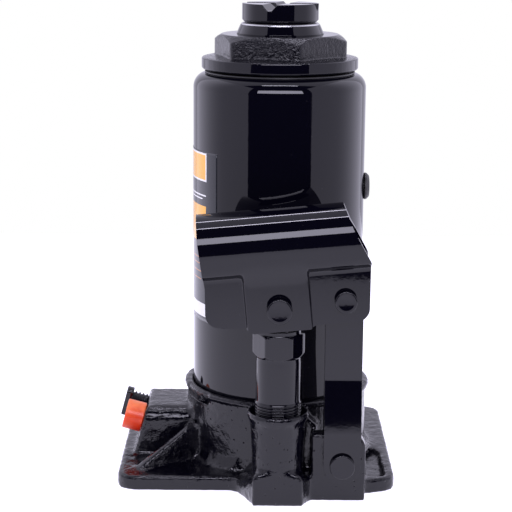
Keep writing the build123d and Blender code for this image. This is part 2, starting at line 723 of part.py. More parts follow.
with BuildPart() as pump_plunger:
    with BuildSketch(pump_plane(PLUNGER_FOOT)):
        Circle(PLUNGER_R)
    extrude(amount=PLUNGER_PIN_Z - PLUNGER_FOOT)
    with BuildSketch(front_plane(PUMP_Y)):
        with Locations((0, PLUNGER_PIN_Z)):
            Circle(EYE_R)
    extrude(amount=EYE_HALF, both=True)
    with BuildSketch(front_plane(PUMP_Y)):
        with Locations((0, PLUNGER_PIN_Z)):
            Circle(EYE_HOLE_R)
    extrude(amount=EYE_HALF + 1, both=True, mode=Mode.SUBTRACT)
    with BuildSketch(pump_plane(RING_GROOVE_FOOT)):
        Circle(PLUNGER_R + 1)
        Circle(PLUNGER_R - RING_GROOVE_DEEP, mode=Mode.SUBTRACT)
    extrude(amount=RING_GROOVE_TOP - RING_GROOVE_FOOT, mode=Mode.SUBTRACT)
pump_plunger.part.label = "pump_plunger"
export_step(pump_plunger.part, "parts/pump_plunger.step")

plunger_o_ring = round_ring(pump_plane(RING_GROOVE_FOOT), PLUNGER_R - 0.9, 0.9)
plunger_o_ring.part.label = "plunger_o_ring"
export_step(plunger_o_ring.part, "parts/plunger_o_ring.step")

plunger_backup_ring = ring(pump_plane(RING_GROOVE_FOOT + 1.9), PLUNGER_R, PLUNGER_R - 1.8, 1.4)
plunger_backup_ring.part.label = "plunger_backup_ring"
export_step(plunger_backup_ring.part, "parts/plunger_backup_ring.step")

# ---------------------------------------------------------------- link
PLATE_GAP = EAR_HALF + 0.15        # from the pump's plane to a plate's inner face, beside the ear
PLATE_OUT = PLATE_GAP + LINK_PLATE_THICK
PLATE_GAP_HIGH = 0.85              # the same between the socket's flaps
JOGGLE_FOOT = 34.0                 # the plates close in over this stretch
JOGGLE_TOP = 60.0
HIGH_PIN_R = 4.2
PIN_HEAD_LOW_R = 5.9
PIN_HEAD_HIGH_R = 5.2
PIN_HEAD_PLUNGER_R = 5.9


def link_plate(side):
    """A link plate with round ends, joggled inwards above the ear; side is -1 at the front."""
    low_in = PUMP_Y + side * PLATE_GAP
    low_out = PUMP_Y + side * PLATE_OUT
    high_in = PUMP_Y + side * PLATE_GAP_HIGH
    high_out = PUMP_Y + side * (PLATE_GAP_HIGH + LINK_PLATE_THICK)
    over = LINK_HIGH_Z + LINK_END_R + 1
    with BuildPart() as piece:
        with BuildSketch(front_plane(PUMP_Y)):
            with Locations((LINK_X, (LINK_LOW_Z + LINK_HIGH_Z) / 2)):
                SlotCenterToCenter(LINK_HIGH_Z - LINK_LOW_Z, 2 * LINK_END_R, rotation=90)
            with Locations((LINK_X, LINK_LOW_Z)):
                Circle(LOW_PIN_R + RUNNING_GAP, mode=Mode.SUBTRACT)
            with Locations((LINK_X, LINK_HIGH_Z)):
                Circle(HIGH_PIN_R, mode=Mode.SUBTRACT)
        extrude(amount=PLATE_OUT + 1, both=True)
        with BuildSketch(Plane.YZ.offset(LINK_X)) as profile:
            with BuildLine():
                Polyline(
                    (low_in, 0),
                    (low_out, 0),
                    (low_out, JOGGLE_FOOT),
                    (high_out, JOGGLE_TOP),
                    (high_out, over),
                    (high_in, over),
                    (high_in, JOGGLE_TOP),
                    (low_in, JOGGLE_FOOT),
                    close=True,
                )
            make_face()
        extrude(profile.sketch, amount=LINK_END_R + 1, both=True, mode=Mode.INTERSECT)
        chamfer(edges().filter_by(GeomType.LINE).filter_by(Axis.X, reverse=True), length=0.4)
    return piece


link_front_plate = link_plate(-1)
link_front_plate.part.label = "link_front_plate"
export_step(link_front_plate.part, "parts/link_front_plate.step")

link_rear_plate = link_plate(1)
link_rear_plate.part.label = "link_rear_plate"
export_step(link_rear_plate.part, "parts/link_rear_plate.step")

# ---------------------------------------------------------------- handle socket
SIDE_FLAP_HALF = 10.9         # outer faces of the pinched flaps, from the pump's plane
MID_FLAP_HALF = 12.2
FLAP_SPLIT_LEFT = -46.0       # along the barrel, from the link's upper pin
FLAP_SPLIT_RIGHT = -15.0
SOCKET_LEFT = -66.2
SOCKET_RIGHT = 12.8
STEP_TOP = 17.5               # the flap widens to the barrel between these heights
STEP_FOOT = 14.4
SIDE_FLAP_FOOT = -10.3
MID_FLAP_FOOT = -11.8
BLANK_TOP = BARREL_RISE + BARREL_R + 0.5


def socket_zone(start, end, flap_half):
    """One stretch of the pressed sheet: barrel on top, flanks, and flaps pinched to a width."""
    inner_r = BARREL_R - SOCKET_SHEET
    flap_in = flap_half - SOCKET_SHEET
    with BuildSketch(socket_section(start)) as section:
        with Locations((0, BARREL_RISE)):
            Circle(BARREL_R)
        with BuildLine():
            Polyline(
                (-BARREL_R, BARREL_RISE),
                (-BARREL_R, STEP_TOP),
                (-flap_half, STEP_FOOT),
                (-flap_half, MID_FLAP_FOOT - 2),
                (flap_half, MID_FLAP_FOOT - 2),
                (flap_half, STEP_FOOT),
                (BARREL_R, STEP_TOP),
                (BARREL_R, BARREL_RISE),
                close=True,
            )
        make_face()
        with Locations((0, BARREL_RISE)):
            Circle(inner_r, mode=Mode.SUBTRACT)
        with BuildLine():
            Polyline(
                (-inner_r, BARREL_RISE),
                (-inner_r, STEP_TOP + 1.2),
                (-flap_in, STEP_FOOT + 1.2),
                (-flap_in, MID_FLAP_FOOT - 3),
                (flap_in, MID_FLAP_FOOT - 3),
                (flap_in, STEP_FOOT + 1.2),
                (inner_r, STEP_TOP + 1.2),
                (inner_r, BARREL_RISE),
                close=True,
            )
        make_face(mode=Mode.SUBTRACT)
    extrude(section.sketch, amount=end - start)


with BuildPart() as handle_socket:
    socket_zone(SOCKET_LEFT, FLAP_SPLIT_LEFT, SIDE_FLAP_HALF)
    socket_zone(FLAP_SPLIT_LEFT, FLAP_SPLIT_RIGHT, MID_FLAP_HALF)
    socket_zone(FLAP_SPLIT_RIGHT, SOCKET_RIGHT, SIDE_FLAP_HALF)
    # outline of the blank, seen square to the flaps
    with BuildSketch(socket_front()):
        with BuildLine():
            Polyline(
                (SOCKET_LEFT, BLANK_TOP),
                (SOCKET_LEFT, 34),
                (SOCKET_LEFT + 1.2, 14),
                (SOCKET_LEFT + 1.2, -8),
                (FLAP_SPLIT_LEFT, -9.2),
                (FLAP_SPLIT_LEFT + 2.5, MID_FLAP_FOOT),
                (FLAP_SPLIT_RIGHT - 2.5, MID_FLAP_FOOT),
                (FLAP_SPLIT_RIGHT, SIDE_FLAP_FOOT),
                (SOCKET_RIGHT, SIDE_FLAP_FOOT),
                (SOCKET_RIGHT, 17.3),
                (5.5, 33.5),
                (1.5, BLANK_TOP),
                close=True,
            )
        make_face()
        lower = vertices().filter_by(lambda v: v.Y < 0)
        fillet(lower.sort_by(Axis.X)[0], radius=4)
        fillet(lower.sort_by(Axis.X)[-1], radius=5)
    extrude(amount=BARREL_R + 1, both=True, mode=Mode.INTERSECT)
    # pin holes
    with BuildSketch(front_plane(PUMP_Y)):
        with Locations((0, PLUNGER_PIN_Z)):
            Circle(PLUNGER_PIN_R)
        with Locations((LINK_X, LINK_HIGH_Z)):
            Circle(HIGH_PIN_R + RUNNING_GAP)
    extrude(amount=BARREL_R + 1, both=True, mode=Mode.SUBTRACT)
handle_socket.part.label = "handle_socket"
export_step(handle_socket.part, "parts/handle_socket.step")


# ---------------------------------------------------------------- pins and their snap rings
def headed_pin(x, z, shank_r, head_r, head_face, head_seat, tail):
    """A pin along Y: its head stands in front of head_seat, its shank runs back to tail."""
    with BuildPart() as piece:
        with BuildSketch(front_plane(head_seat)):
            with Locations((x, z)):
                Circle(head_r)
        extrude(amount=head_seat - head_face)
        chamfer(edges().group_by(Axis.Y)[0], length=0.5)
        with BuildSketch(front_plane(head_seat)):
            with Locations((x, z)):
                Circle(shank_r)
        extrude(amount=head_seat - tail)
    return piece


plunger_pin_seat = PUMP_Y - MID_FLAP_HALF
plunger_pin = headed_pin(
    0, PLUNGER_PIN_Z, PLUNGER_PIN_R, PIN_HEAD_PLUNGER_R,
    plunger_pin_seat - 5.5, plunger_pin_seat, PUMP_Y + MID_FLAP_HALF + 2.0,
)
plunger_pin.part.label = "plunger_pin"
export_step(plunger_pin.part, "parts/plunger_pin.step")

plunger_pin_ring = snap_ring(PUMP_Y + MID_FLAP_HALF + 1.0, 0, PLUNGER_PIN_Z, PLUNGER_PIN_R)
plunger_pin_ring.part.label = "plunger_pin_ring"
export_step(plunger_pin_ring.part, "parts/plunger_pin_ring.step")

link_upper_seat = PUMP_Y - SIDE_FLAP_HALF - CLEAR
link_upper_pin = headed_pin(
    LINK_X, LINK_HIGH_Z, HIGH_PIN_R, PIN_HEAD_HIGH_R,
    link_upper_seat - 3.8, link_upper_seat, PUMP_Y + SIDE_FLAP_HALF + 3.0,
)
link_upper_pin.part.label = "link_upper_pin"
export_step(link_upper_pin.part, "parts/link_upper_pin.step")

link_upper_ring = snap_ring(PUMP_Y + SIDE_FLAP_HALF + 1.4, LINK_X, LINK_HIGH_Z, HIGH_PIN_R)
link_upper_ring.part.label = "link_upper_ring"
export_step(link_upper_ring.part, "parts/link_upper_ring.step")

link_lower_seat = PUMP_Y - PLATE_OUT - CLEAR
link_lower_pin = headed_pin(
    LINK_X, LINK_LOW_Z, LOW_PIN_R, PIN_HEAD_LOW_R,
    link_lower_seat - 2.2, link_lower_seat, PUMP_Y + PLATE_OUT + 3.0,
)
link_lower_pin.part.label = "link_lower_pin"
export_step(link_lower_pin.part, "parts/link_lower_pin.step")

link_lower_ring = snap_ring(PUMP_Y + PLATE_OUT + 1.4, LINK_X, LINK_LOW_Z, LOW_PIN_R)
link_lower_ring.part.label = "link_lower_ring"
export_step(link_lower_ring.part, "parts/link_lower_ring.step")

# ---------------------------------------------------------------- release valve
RELEASE_NECK = 8.0            # length of the neck outside the casting
RELEASE_HEAD = 3.6
RELEASE_HEAD_R = 7.6
RELEASE_BAR = 8.0
RELEASE_DEEP = 26.0           # length of the shank inside the casting
RELEASE_GROOVE = -20.0        # foot of the O-ring groove

with BuildPart() as release_valve:
    with BuildSketch(valve_plane(RELEASE_Y, -RELEASE_DEEP)):
        Circle(RELEASE_BORE_R)
    extrude(amount=RELEASE_DEEP + RELEASE_NECK)
    with BuildSketch(valve_plane(RELEASE_Y, -RELEASE_DEEP)):
        Circle(3.0)
    extrude(amount=-4.85)
    with BuildSketch(valve_plane(RELEASE_Y, RELEASE_GROOVE)):
        Circle(RELEASE_BORE_R + 1)
        Circle(RELEASE_BORE_R - 1.2, mode=Mode.SUBTRACT)
    extrude(amount=2.4, mode=Mode.SUBTRACT)
    with BuildSketch(valve_plane(RELEASE_Y, RELEASE_NECK)):
        Circle(RELEASE_HEAD_R)
        Rectangle(RELEASE_BAR, 2 * RELEASE_HEAD_R, mode=Mode.INTERSECT)
    extrude(amount=RELEASE_HEAD)
release_valve.part.label = "release_valve"
export_step(release_valve.part, "parts/release_valve.step")

release_o_ring = round_ring(valve_plane(RELEASE_Y, RELEASE_GROOVE + 0.05), RELEASE_BORE_R - 0.6, 0.6)
release_o_ring.part.label = "release_o_ring"
export_step(release_o_ring.part, "parts/release_o_ring.step")

BALL_R = 3.0
BALL_BACK = sqrt(BALL_R ** 2 - BALL_SEAT_R ** 2)     # from a seat to the centre of its ball
release_ball = ball(valve_plane(RELEASE_Y, BALL_SEAT + BALL_BACK + 0.05).origin, BALL_R)
release_ball.part.label = "release_ball"
export_step(release_ball.part, "parts/release_ball.step")

# ---------------------------------------------------------------- overload valve
overload_ball = ball(valve_plane(OVERLOAD_Y, BALL_SEAT + BALL_BACK + 0.05).origin, BALL_R)
overload_ball.part.label = "overload_ball"
export_step(overload_ball.part, "parts/overload_ball.step")

OVERLOAD_SCREW_FOOT = -14.0
OVERLOAD_SCREW_LONG = 10.0
OVERLOAD_SPRING_FOOT = -30.6
overload_spring = coil_spring(
    valve_plane(OVERLOAD_Y, OVERLOAD_SPRING_FOOT), 2.2, 0.6,
    OVERLOAD_SCREW_FOOT - OVERLOAD_SPRING_FOOT, 8,
)
overload_spring.part.label = "overload_spring"
export_step(overload_spring.part, "parts/overload_spring.step")

with BuildPart() as overload_screw:
    with BuildSketch(valve_plane(OVERLOAD_Y, OVERLOAD_SCREW_FOOT)):
        Circle(OVERLOAD_BORE_R)
    extrude(amount=OVERLOAD_SCREW_LONG)
    with BuildSketch(valve_plane(OVERLOAD_Y, OVERLOAD_SCREW_FOOT + OVERLOAD_SCREW_LONG)):
        RegularPolygon(2.9, 6)
    extrude(amount=-4, mode=Mode.SUBTRACT)
overload_screw.part.label = "overload_screw"
export_step(overload_screw.part, "parts/overload_screw.step")

CAP_R = 7.4
CAP_LENGTH = 9.5
CAP_SEAT = 0.1                # the cap's collar stands this far off the casting
CAP_SPIGOT = 3.0
with BuildPart() as overload_cap:
    with BuildSketch(valve_plane(OVERLOAD_Y, CAP_SEAT)):
        Circle(CAP_R)
    extrude(amount=CAP_LENGTH)
    with BuildSketch(valve_plane(OVERLOAD_Y, CAP_SEAT)):
        Circle(OVERLOAD_BORE_R - 0.02)
    extrude(amount=-CAP_SPIGOT)
    with BuildSketch(valve_plane(OVERLOAD_Y, CAP_SEAT - CAP_SPIGOT)):
        Circle(3.6)
    extrude(amount=CAP_LENGTH + 1.0, mode=Mode.SUBTRACT)
overload_cap.part.label = "overload_cap"
export_step(overload_cap.part, "parts/overload_cap.step")

# ---------------------------------------------------------------- check valves under the pump
inlet_back = sqrt(BALL_R ** 2 - SUCTION_SEAT_R ** 2)
inlet_ball = ball((0, PUMP_Y, INLET_SEAT + inlet_back + 0.05), BALL_R)
inlet_ball.part.label = "inlet_ball"
export_step(inlet_ball.part, "parts/inlet_ball.step")

outlet_centre = OUTLET_SEAT - BALL_BACK - 0.05
outlet_ball = ball((0, OUTLET_Y, outlet_centre), BALL_R)
outlet_ball.part.label = "outlet_ball"
export_step(outlet_ball.part, "parts/outlet_ball.step")

OUTLET_PLUG_FOOT = 0.5
OUTLET_PLUG_TOP = 6.5
outlet_spring = coil_spring(
    Plane(origin=(0, OUTLET_Y, OUTLET_PLUG_TOP)), 2.4, 0.35,
    outlet_centre - 1.9 - OUTLET_PLUG_TOP, 4,
)
outlet_spring.part.label = "outlet_spring"
export_step(outlet_spring.part, "parts/outlet_spring.step")

with BuildPart() as outlet_plug:
    with BuildSketch(Plane(origin=(0, OUTLET_Y, OUTLET_PLUG_FOOT))):
        Circle(OUTLET_BORE_R)
    extrude(amount=OUTLET_PLUG_TOP - OUTLET_PLUG_FOOT)
    with BuildSketch(Plane(origin=(0, OUTLET_Y, OUTLET_PLUG_FOOT))):
        RegularPolygon(2.3, 6)
    extrude(amount=3, mode=Mode.SUBTRACT)
outlet_plug.part.label = "outlet_plug"
export_step(outlet_plug.part, "parts/outlet_plug.step")

with BuildPart() as suction_strainer:
    with BuildSketch(Plane(origin=(SUCTION_X, SUCTION_Y, STRAINER_SEAT))):
        Circle(3.0)
        with PolarLocations(1.6, 6):
            Circle(0.5, mode=Mode.SUBTRACT)
    extrude(amount=2.6)
suction_strainer.part.label = "suction_strainer"
export_step(suction_strainer.part, "parts/suction_strainer.step")

# ---------------------------------------------------------------- filler plug and label
PLUG_R = FILLER_R - RUNNING_GAP
PLUG_FLANGE_R = 6.7
with BuildPart() as filler_plug:
    with BuildSketch(front_plane(0)):
        with BuildLine():
            Polyline(
                (36.5, FILLER_Z),
                (36.5, FILLER_Z + 3.6),
                (TANK_R - TANK_WALL - 0.2, FILLER_Z + PLUG_R),
                (TANK_R + 0.1, FILLER_Z + PLUG_R),
                (TANK_R + 0.1, FILLER_Z + PLUG_FLANGE_R),
                (TANK_R + 1.3, FILLER_Z + PLUG_FLANGE_R - 0.2),
                (TANK_R + 2.5, FILLER_Z + 5.0),
                (TANK_R + 2.8, FILLER_Z + 2.5),
                (TANK_R + 2.8, FILLER_Z),
                close=True,
            )
        make_face()
    revolve(axis=Axis((0, 0, FILLER_Z), (1, 0, 0)))
filler_plug.part.label = "filler_plug"
export_step(filler_plug.part, "parts/filler_plug.step")

LABEL_FOOT = 75.7
LABEL_TOP = 166.5
LABEL_START = 213.6           # right edge of the label, degrees from +X
LABEL_SPAN = 104.0
LABEL_SKIN = 0.12
LABEL_GAP = 0.03              # the film stands this far off the tank's wall
with BuildPart() as label:
    with BuildSketch(Plane.XZ):
        with Locations((TANK_R + LABEL_GAP + LABEL_SKIN / 2, (LABEL_FOOT + LABEL_TOP) / 2)):
            Rectangle(LABEL_SKIN, LABEL_TOP - LABEL_FOOT)
    revolve(axis=Axis.Z, revolution_arc=-LABEL_SPAN)
label.part = label.part.rotate(Axis.Z, LABEL_START)
label.part.label = "label"
export_step(label.part, "parts/label.step")
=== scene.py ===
import json
import logging
import math
from dataclasses import dataclass
from enum import Enum
from typing import Iterable

import bmesh
import bpy
import numpy as np
from mathutils import Matrix, Vector


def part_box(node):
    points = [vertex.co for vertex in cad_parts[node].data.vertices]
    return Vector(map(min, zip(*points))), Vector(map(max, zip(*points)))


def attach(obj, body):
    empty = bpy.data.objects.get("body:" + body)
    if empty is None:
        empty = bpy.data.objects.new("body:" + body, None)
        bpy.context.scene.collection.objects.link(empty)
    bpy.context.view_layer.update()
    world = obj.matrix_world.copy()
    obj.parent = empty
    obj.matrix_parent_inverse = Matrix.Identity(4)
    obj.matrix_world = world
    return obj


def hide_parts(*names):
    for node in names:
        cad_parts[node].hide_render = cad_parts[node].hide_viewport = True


# Looks of a hydraulic bottle jack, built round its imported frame. Metres, in the frame's own axes:
# +Z is the lifting direction, -Y faces the hand pump, +X faces the oil filler.

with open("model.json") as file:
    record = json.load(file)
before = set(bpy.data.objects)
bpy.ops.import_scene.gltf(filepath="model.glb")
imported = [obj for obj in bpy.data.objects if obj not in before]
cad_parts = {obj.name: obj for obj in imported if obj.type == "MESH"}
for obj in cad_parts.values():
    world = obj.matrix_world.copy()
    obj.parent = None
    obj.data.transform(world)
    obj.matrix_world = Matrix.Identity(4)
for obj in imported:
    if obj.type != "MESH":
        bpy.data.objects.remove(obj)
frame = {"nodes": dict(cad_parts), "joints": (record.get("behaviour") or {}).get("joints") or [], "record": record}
bpy.context.view_layer.update()

MM = 0.001
TAU = 2 * math.pi
log = logging.getLogger("jack")

Colour = tuple[float, float, float]
Outline = list[tuple[float, float]]


# ---------------------------------------------------------------- node trees
class Graph:
    """Writes the nodes and links of one node tree."""

    def __init__(self, tree: bpy.types.NodeTree) -> None:
        """Takes the tree to write to."""
        self.tree = tree

    def add(self, kind: str, inputs: dict | None = None, **settings: object) -> bpy.types.Node:
        """Adds one node.

        Args:
            kind: the node's type name.
            inputs: values or sockets to plug in, by socket name or number.
            settings: attributes of the node itself.

        Returns:
            The new node.
        """
        node = self.tree.nodes.new(kind)
        for key, value in settings.items():
            setattr(node, key, value)
        for key, value in (inputs or {}).items():
            self.plug(node.inputs[key], value)
        return node

    def plug(self, socket: bpy.types.NodeSocket, value: object) -> None:
        """Links a socket into another, or sets its value."""
        if isinstance(value, bpy.types.NodeSocket):
            self.tree.links.new(value, socket)
        else:
            socket.default_value = value

    def math(self, operation: str, a: object, b: object = 0.0, clamp: bool = False) -> bpy.types.NodeSocket:
        """Adds a math node and returns its result."""
        node = self.add("ShaderNodeMath", {0: a, 1: b}, operation=operation, use_clamp=clamp)
        return node.outputs[0]

    def ramp(self, value: object, low: object, high: object, smooth: bool = True) -> bpy.types.NodeSocket:
        """Maps low..high to 0..1, clamped, and returns the result."""
        kind = "SMOOTHSTEP" if smooth else "LINEAR"
        node = self.add("ShaderNodeMapRange", {"Value": value}, interpolation_type=kind)
        self.plug(node.inputs["From Min"], low)
        self.plug(node.inputs["From Max"], high)
        return node.outputs["Result"]


def new_group(name: str, kind: str, inputs: dict[str, tuple], outputs: dict[str, str]) -> tuple:
    """Starts a node group with named sockets.

    Args:
        name: the group's name.
        kind: ShaderNodeTree or GeometryNodeTree.
        inputs: socket name to (socket type, default or None).
        outputs: socket name to socket type.

    Returns:
        The group, a Graph on it, its input node and its output node.
    """
    group = bpy.data.node_groups.new(name, kind)
    for label, (socket_type, default) in inputs.items():
        made = group.interface.new_socket(label, in_out="INPUT", socket_type=socket_type)
        if default is not None:
            made.default_value = default
    for label, socket_type in outputs.items():
        group.interface.new_socket(label, in_out="OUTPUT", socket_type=socket_type)
    graph = Graph(group)
    return group, graph, graph.add("NodeGroupInput"), graph.add("NodeGroupOutput")


# ---------------------------------------------------------------- shader groups
def skin_group() -> bpy.types.NodeTree:
    """Height of a paint or casting skin, in millimetres: long waves, grain and scattered pits."""
    real = "NodeSocketFloat"
    group, graph, source, sink = new_group(
        "surface_skin",
        "ShaderNodeTree",
        {
            "Vector": ("NodeSocketVector", None),
            "Wave Size": (real, 4.0),
            "Wave Height": (real, 0.004),
            "Grain Size": (real, 1.2),
            "Grain Height": (real, 0.002),
            "Pit Size": (real, 5.0),
            "Pit Depth": (real, 0.0),
            "Pit Share": (real, 0.12),
        },
        {"Height": real},
    )

    def wavelength_noise(size: str, detail: float, rough: float) -> bpy.types.NodeSocket:
        """Noise about zero, its wavelength read in millimetres from an input of the group."""
        scale = graph.math("DIVIDE", 1000.0, source.outputs[size])
        node = graph.add("ShaderNodeTexNoise", {"Vector": source.outputs["Vector"], "Scale": scale})
        node.inputs["Detail"].default_value = detail
        node.inputs["Roughness"].default_value = rough
        return graph.math("SUBTRACT", node.outputs["Fac"], 0.5)

    wave = graph.math("MULTIPLY", wavelength_noise("Wave Size", 1.0, 0.4), source.outputs["Wave Height"])
    grain = graph.math("MULTIPLY", wavelength_noise("Grain Size", 3.0, 0.6), source.outputs["Grain Height"])
    pit_scale = graph.math("DIVIDE", 1000.0, source.outputs["Pit Size"])
    cells = graph.add("ShaderNodeTexVoronoi", {"Vector": source.outputs["Vector"], "Scale": pit_scale})
    pit = graph.ramp(cells.outputs["Distance"], source.outputs["Pit Share"], 0.0)
    pit = graph.math("MULTIPLY", pit, source.outputs["Pit Depth"])
    total = graph.math("ADD", graph.math("ADD", wave, grain), graph.math("MULTIPLY", pit, -1.0))
    graph.plug(sink.inputs["Height"], total)
    return group


def handling_group() -> bpy.types.NodeTree:
    """Masks of fine dust specks and of faint smears left by handling."""
    real = "NodeSocketFloat"
    group, graph, source, sink = new_group(
        "handling",
        "ShaderNodeTree",
        {"Vector": ("NodeSocketVector", None), "Speck Size": (real, 2.6), "Speck Share": (real, 0.05)},
        {"Specks": real, "Smears": real},
    )
    scale = graph.math("DIVIDE", 1000.0, source.outputs["Speck Size"])
    cells = graph.add("ShaderNodeTexVoronoi", {"Vector": source.outputs["Vector"], "Scale": scale})
    dots = graph.ramp(cells.outputs["Distance"], source.outputs["Speck Share"], 0.0)
    picked = graph.add("ShaderNodeSeparateColor", {"Color": cells.outputs["Color"]})
    chosen = graph.math("GREATER_THAN", picked.outputs[0], 0.62)
    graph.plug(sink.inputs["Specks"], graph.math("MULTIPLY", dots, chosen))
    cloud = graph.add("ShaderNodeTexNoise", {"Vector": source.outputs["Vector"], "Scale": 42.0})
    cloud.inputs["Detail"].default_value = 4.0
    cloud.inputs["Distortion"].default_value = 1.2
    graph.plug(sink.inputs["Smears"], graph.ramp(cloud.outputs["Fac"], 0.45, 0.75))
    return group


def turning_group() -> bpy.types.NodeTree:
    """Fine rings that a lathe or a grinding wheel leaves round the Z axis, as a height in millimetres."""
    real = "NodeSocketFloat"
    group, graph, source, sink = new_group(
        "turning_marks",
        "ShaderNodeTree",
        {"Vector": ("NodeSocketVector", None), "Pitch": (real, 0.25), "Height": (real, 0.002)},
        {"Height": real, "Streaks": real},
    )
    stretch = graph.add("ShaderNodeVectorMath", {0: source.outputs["Vector"], 1: (0.04, 0.04, 1.0)})
    stretch.operation = "MULTIPLY"
    scale = graph.math("DIVIDE", 1000.0, source.outputs["Pitch"])
    lines = graph.add("ShaderNodeTexNoise", {"Vector": stretch.outputs[0], "Scale": scale})
    lines.inputs["Detail"].default_value = 2.0
    centred = graph.math("SUBTRACT", lines.outputs["Fac"], 0.5)
    graph.plug(sink.inputs["Height"], graph.math("MULTIPLY", centred, source.outputs["Height"]))
    graph.plug(sink.inputs["Streaks"], lines.outputs["Fac"])
    return group


def block_group() -> bpy.types.NodeTree:
    """Mask of one printed rectangle on a UV map."""
    real = "NodeSocketFloat"
    group, graph, source, sink = new_group(
        "printed_block",
        "ShaderNodeTree",
        {
            "Vector": ("NodeSocketVector", None),
            "Left": (real, 0.0),
            "Right": (real, 1.0),
            "Foot": (real, 0.0),
            "Top": (real, 1.0),
        },
        {"Mask": real},
    )
    parts = graph.add("ShaderNodeSeparateXYZ", {0: source.outputs["Vector"]})
    inside = [
        graph.math("GREATER_THAN", parts.outputs[0], source.outputs["Left"]),
        graph.math("LESS_THAN", parts.outputs[0], source.outputs["Right"]),
        graph.math("GREATER_THAN", parts.outputs[1], source.outputs["Foot"]),
        graph.math("LESS_THAN", parts.outputs[1], source.outputs["Top"]),
    ]
    across = graph.math("MULTIPLY", inside[0], inside[1])
    up = graph.math("MULTIPLY", inside[2], inside[3])
    graph.plug(sink.inputs["Mask"], graph.math("MULTIPLY", across, up))
    return group


SKIN = skin_group()
HANDLING = handling_group()
TURNING = turning_group()
BLOCK = block_group()


# ---------------------------------------------------------------- finishes
def new_material(name: str) -> tuple[bpy.types.Material, Graph, bpy.types.Node]:
    """Starts a material and returns it, a Graph on its tree and its Principled BSDF."""
    material = bpy.data.materials.new(name)
    material.use_nodes = True
    graph = Graph(material.node_tree)
    shader = material.node_tree.nodes["Principled BSDF"]
    return material, graph, shader


def place_group(graph: Graph, group: bpy.types.NodeTree, inputs: dict) -> bpy.types.Node:
    """Places a node group in a material with its own values."""
    node = graph.add("ShaderNodeGroup", node_tree=group)
    for key, value in inputs.items():
        graph.plug(node.inputs[key], value)
    return node


def mixed(graph: Graph, share: object, first: object, second: object) -> bpy.types.NodeSocket:
    """Adds a colour mix and returns its result."""
    node = graph.add("ShaderNodeMix", data_type="RGBA")
    graph.plug(node.inputs[0], share)
    for socket, value in ((node.inputs[6], first), (node.inputs[7], second)):
        graph.plug(socket, (*value, 1.0) if isinstance(value, tuple) else value)
    return node.outputs[2]


def raise_normal(graph: Graph, shader: bpy.types.Node, height: bpy.types.NodeSocket) -> None:
    """Feeds a height in millimetres to a shader's normal."""
    bump = graph.add("ShaderNodeBump", {"Height": height, "Distance": MM, "Strength": 1.0})
    graph.plug(shader.inputs["Normal"], bump.outputs["Normal"])


@dataclass(frozen=True)
class Enamel:
    """Gloss paint over a surface: the skin's sizes are in millimetres."""

    name: str
    colour: Colour = (0.0012, 0.0010, 0.0034)
    dust_colour: Colour = (0.16, 0.15, 0.15)
    roughness: float = 0.035
    smear: float = 0.05
    wave_size: float = 7.0
    wave_height: float = 0.010
    grain_size: float = 2.2
    grain_height: float = 0.006
    pit_size: float = 6.0
    pit_depth: float = 0.0
    pit_share: float = 0.12
    speck_share: float = 0.05

    def build(self) -> bpy.types.Material:
        """Makes the material."""
        material, graph, shader = new_material(self.name)
        place = graph.add("ShaderNodeTexCoord").outputs["Object"]
        marks = place_group(graph, HANDLING, {"Vector": place, "Speck Share": self.speck_share})
        skin = place_group(
            graph,
            SKIN,
            {
                "Vector": place,
                "Wave Size": self.wave_size,
                "Wave Height": self.wave_height,
                "Grain Size": self.grain_size,
                "Grain Height": self.grain_height,
                "Pit Size": self.pit_size,
                "Pit Depth": self.pit_depth,
                "Pit Share": self.pit_share,
            },
        )
        colour = mixed(graph, marks.outputs["Specks"], self.colour, self.dust_colour)
        graph.plug(shader.inputs["Base Color"], colour)
        smear = graph.math("MULTIPLY", marks.outputs["Smears"], self.smear)
        dusty = graph.math("MULTIPLY", marks.outputs["Specks"], 0.5)
        rough = graph.math("ADD", graph.math("ADD", smear, dusty), self.roughness, clamp=True)
        graph.plug(shader.inputs["Roughness"], rough)
        shader.inputs["IOR"].default_value = 1.45
        raise_normal(graph, shader, skin.outputs["Height"])
        return material


@dataclass(frozen=True)
class Steel:
    """Bare metal with turning marks and a film of oil."""

    name: str
    colour: Colour = (0.50, 0.50, 0.51)
    shade: Colour = (0.34, 0.34, 0.36)
    roughness: float = 0.22
    streak: float = 0.14
    mark_pitch: float = 0.3
    mark_height: float = 0.003

    def build(self) -> bpy.types.Material:
        """Makes the material."""
        material, graph, shader = new_material(self.name)
        place = graph.add("ShaderNodeTexCoord").outputs["Object"]
        values = {"Vector": place, "Pitch": self.mark_pitch, "Height": self.mark_height}
        marks = place_group(graph, TURNING, values)
        dirt = place_group(graph, HANDLING, {"Vector": place})
        colour = mixed(graph, dirt.outputs["Smears"], self.colour, self.shade)
        graph.plug(shader.inputs["Base Color"], colour)
        streak = graph.math("MULTIPLY", marks.outputs["Streaks"], self.streak)
        graph.plug(shader.inputs["Roughness"], graph.math("ADD", streak, self.roughness, clamp=True))
        shader.inputs["Metallic"].default_value = 1.0
        raise_normal(graph, shader, marks.outputs["Height"])
        return material


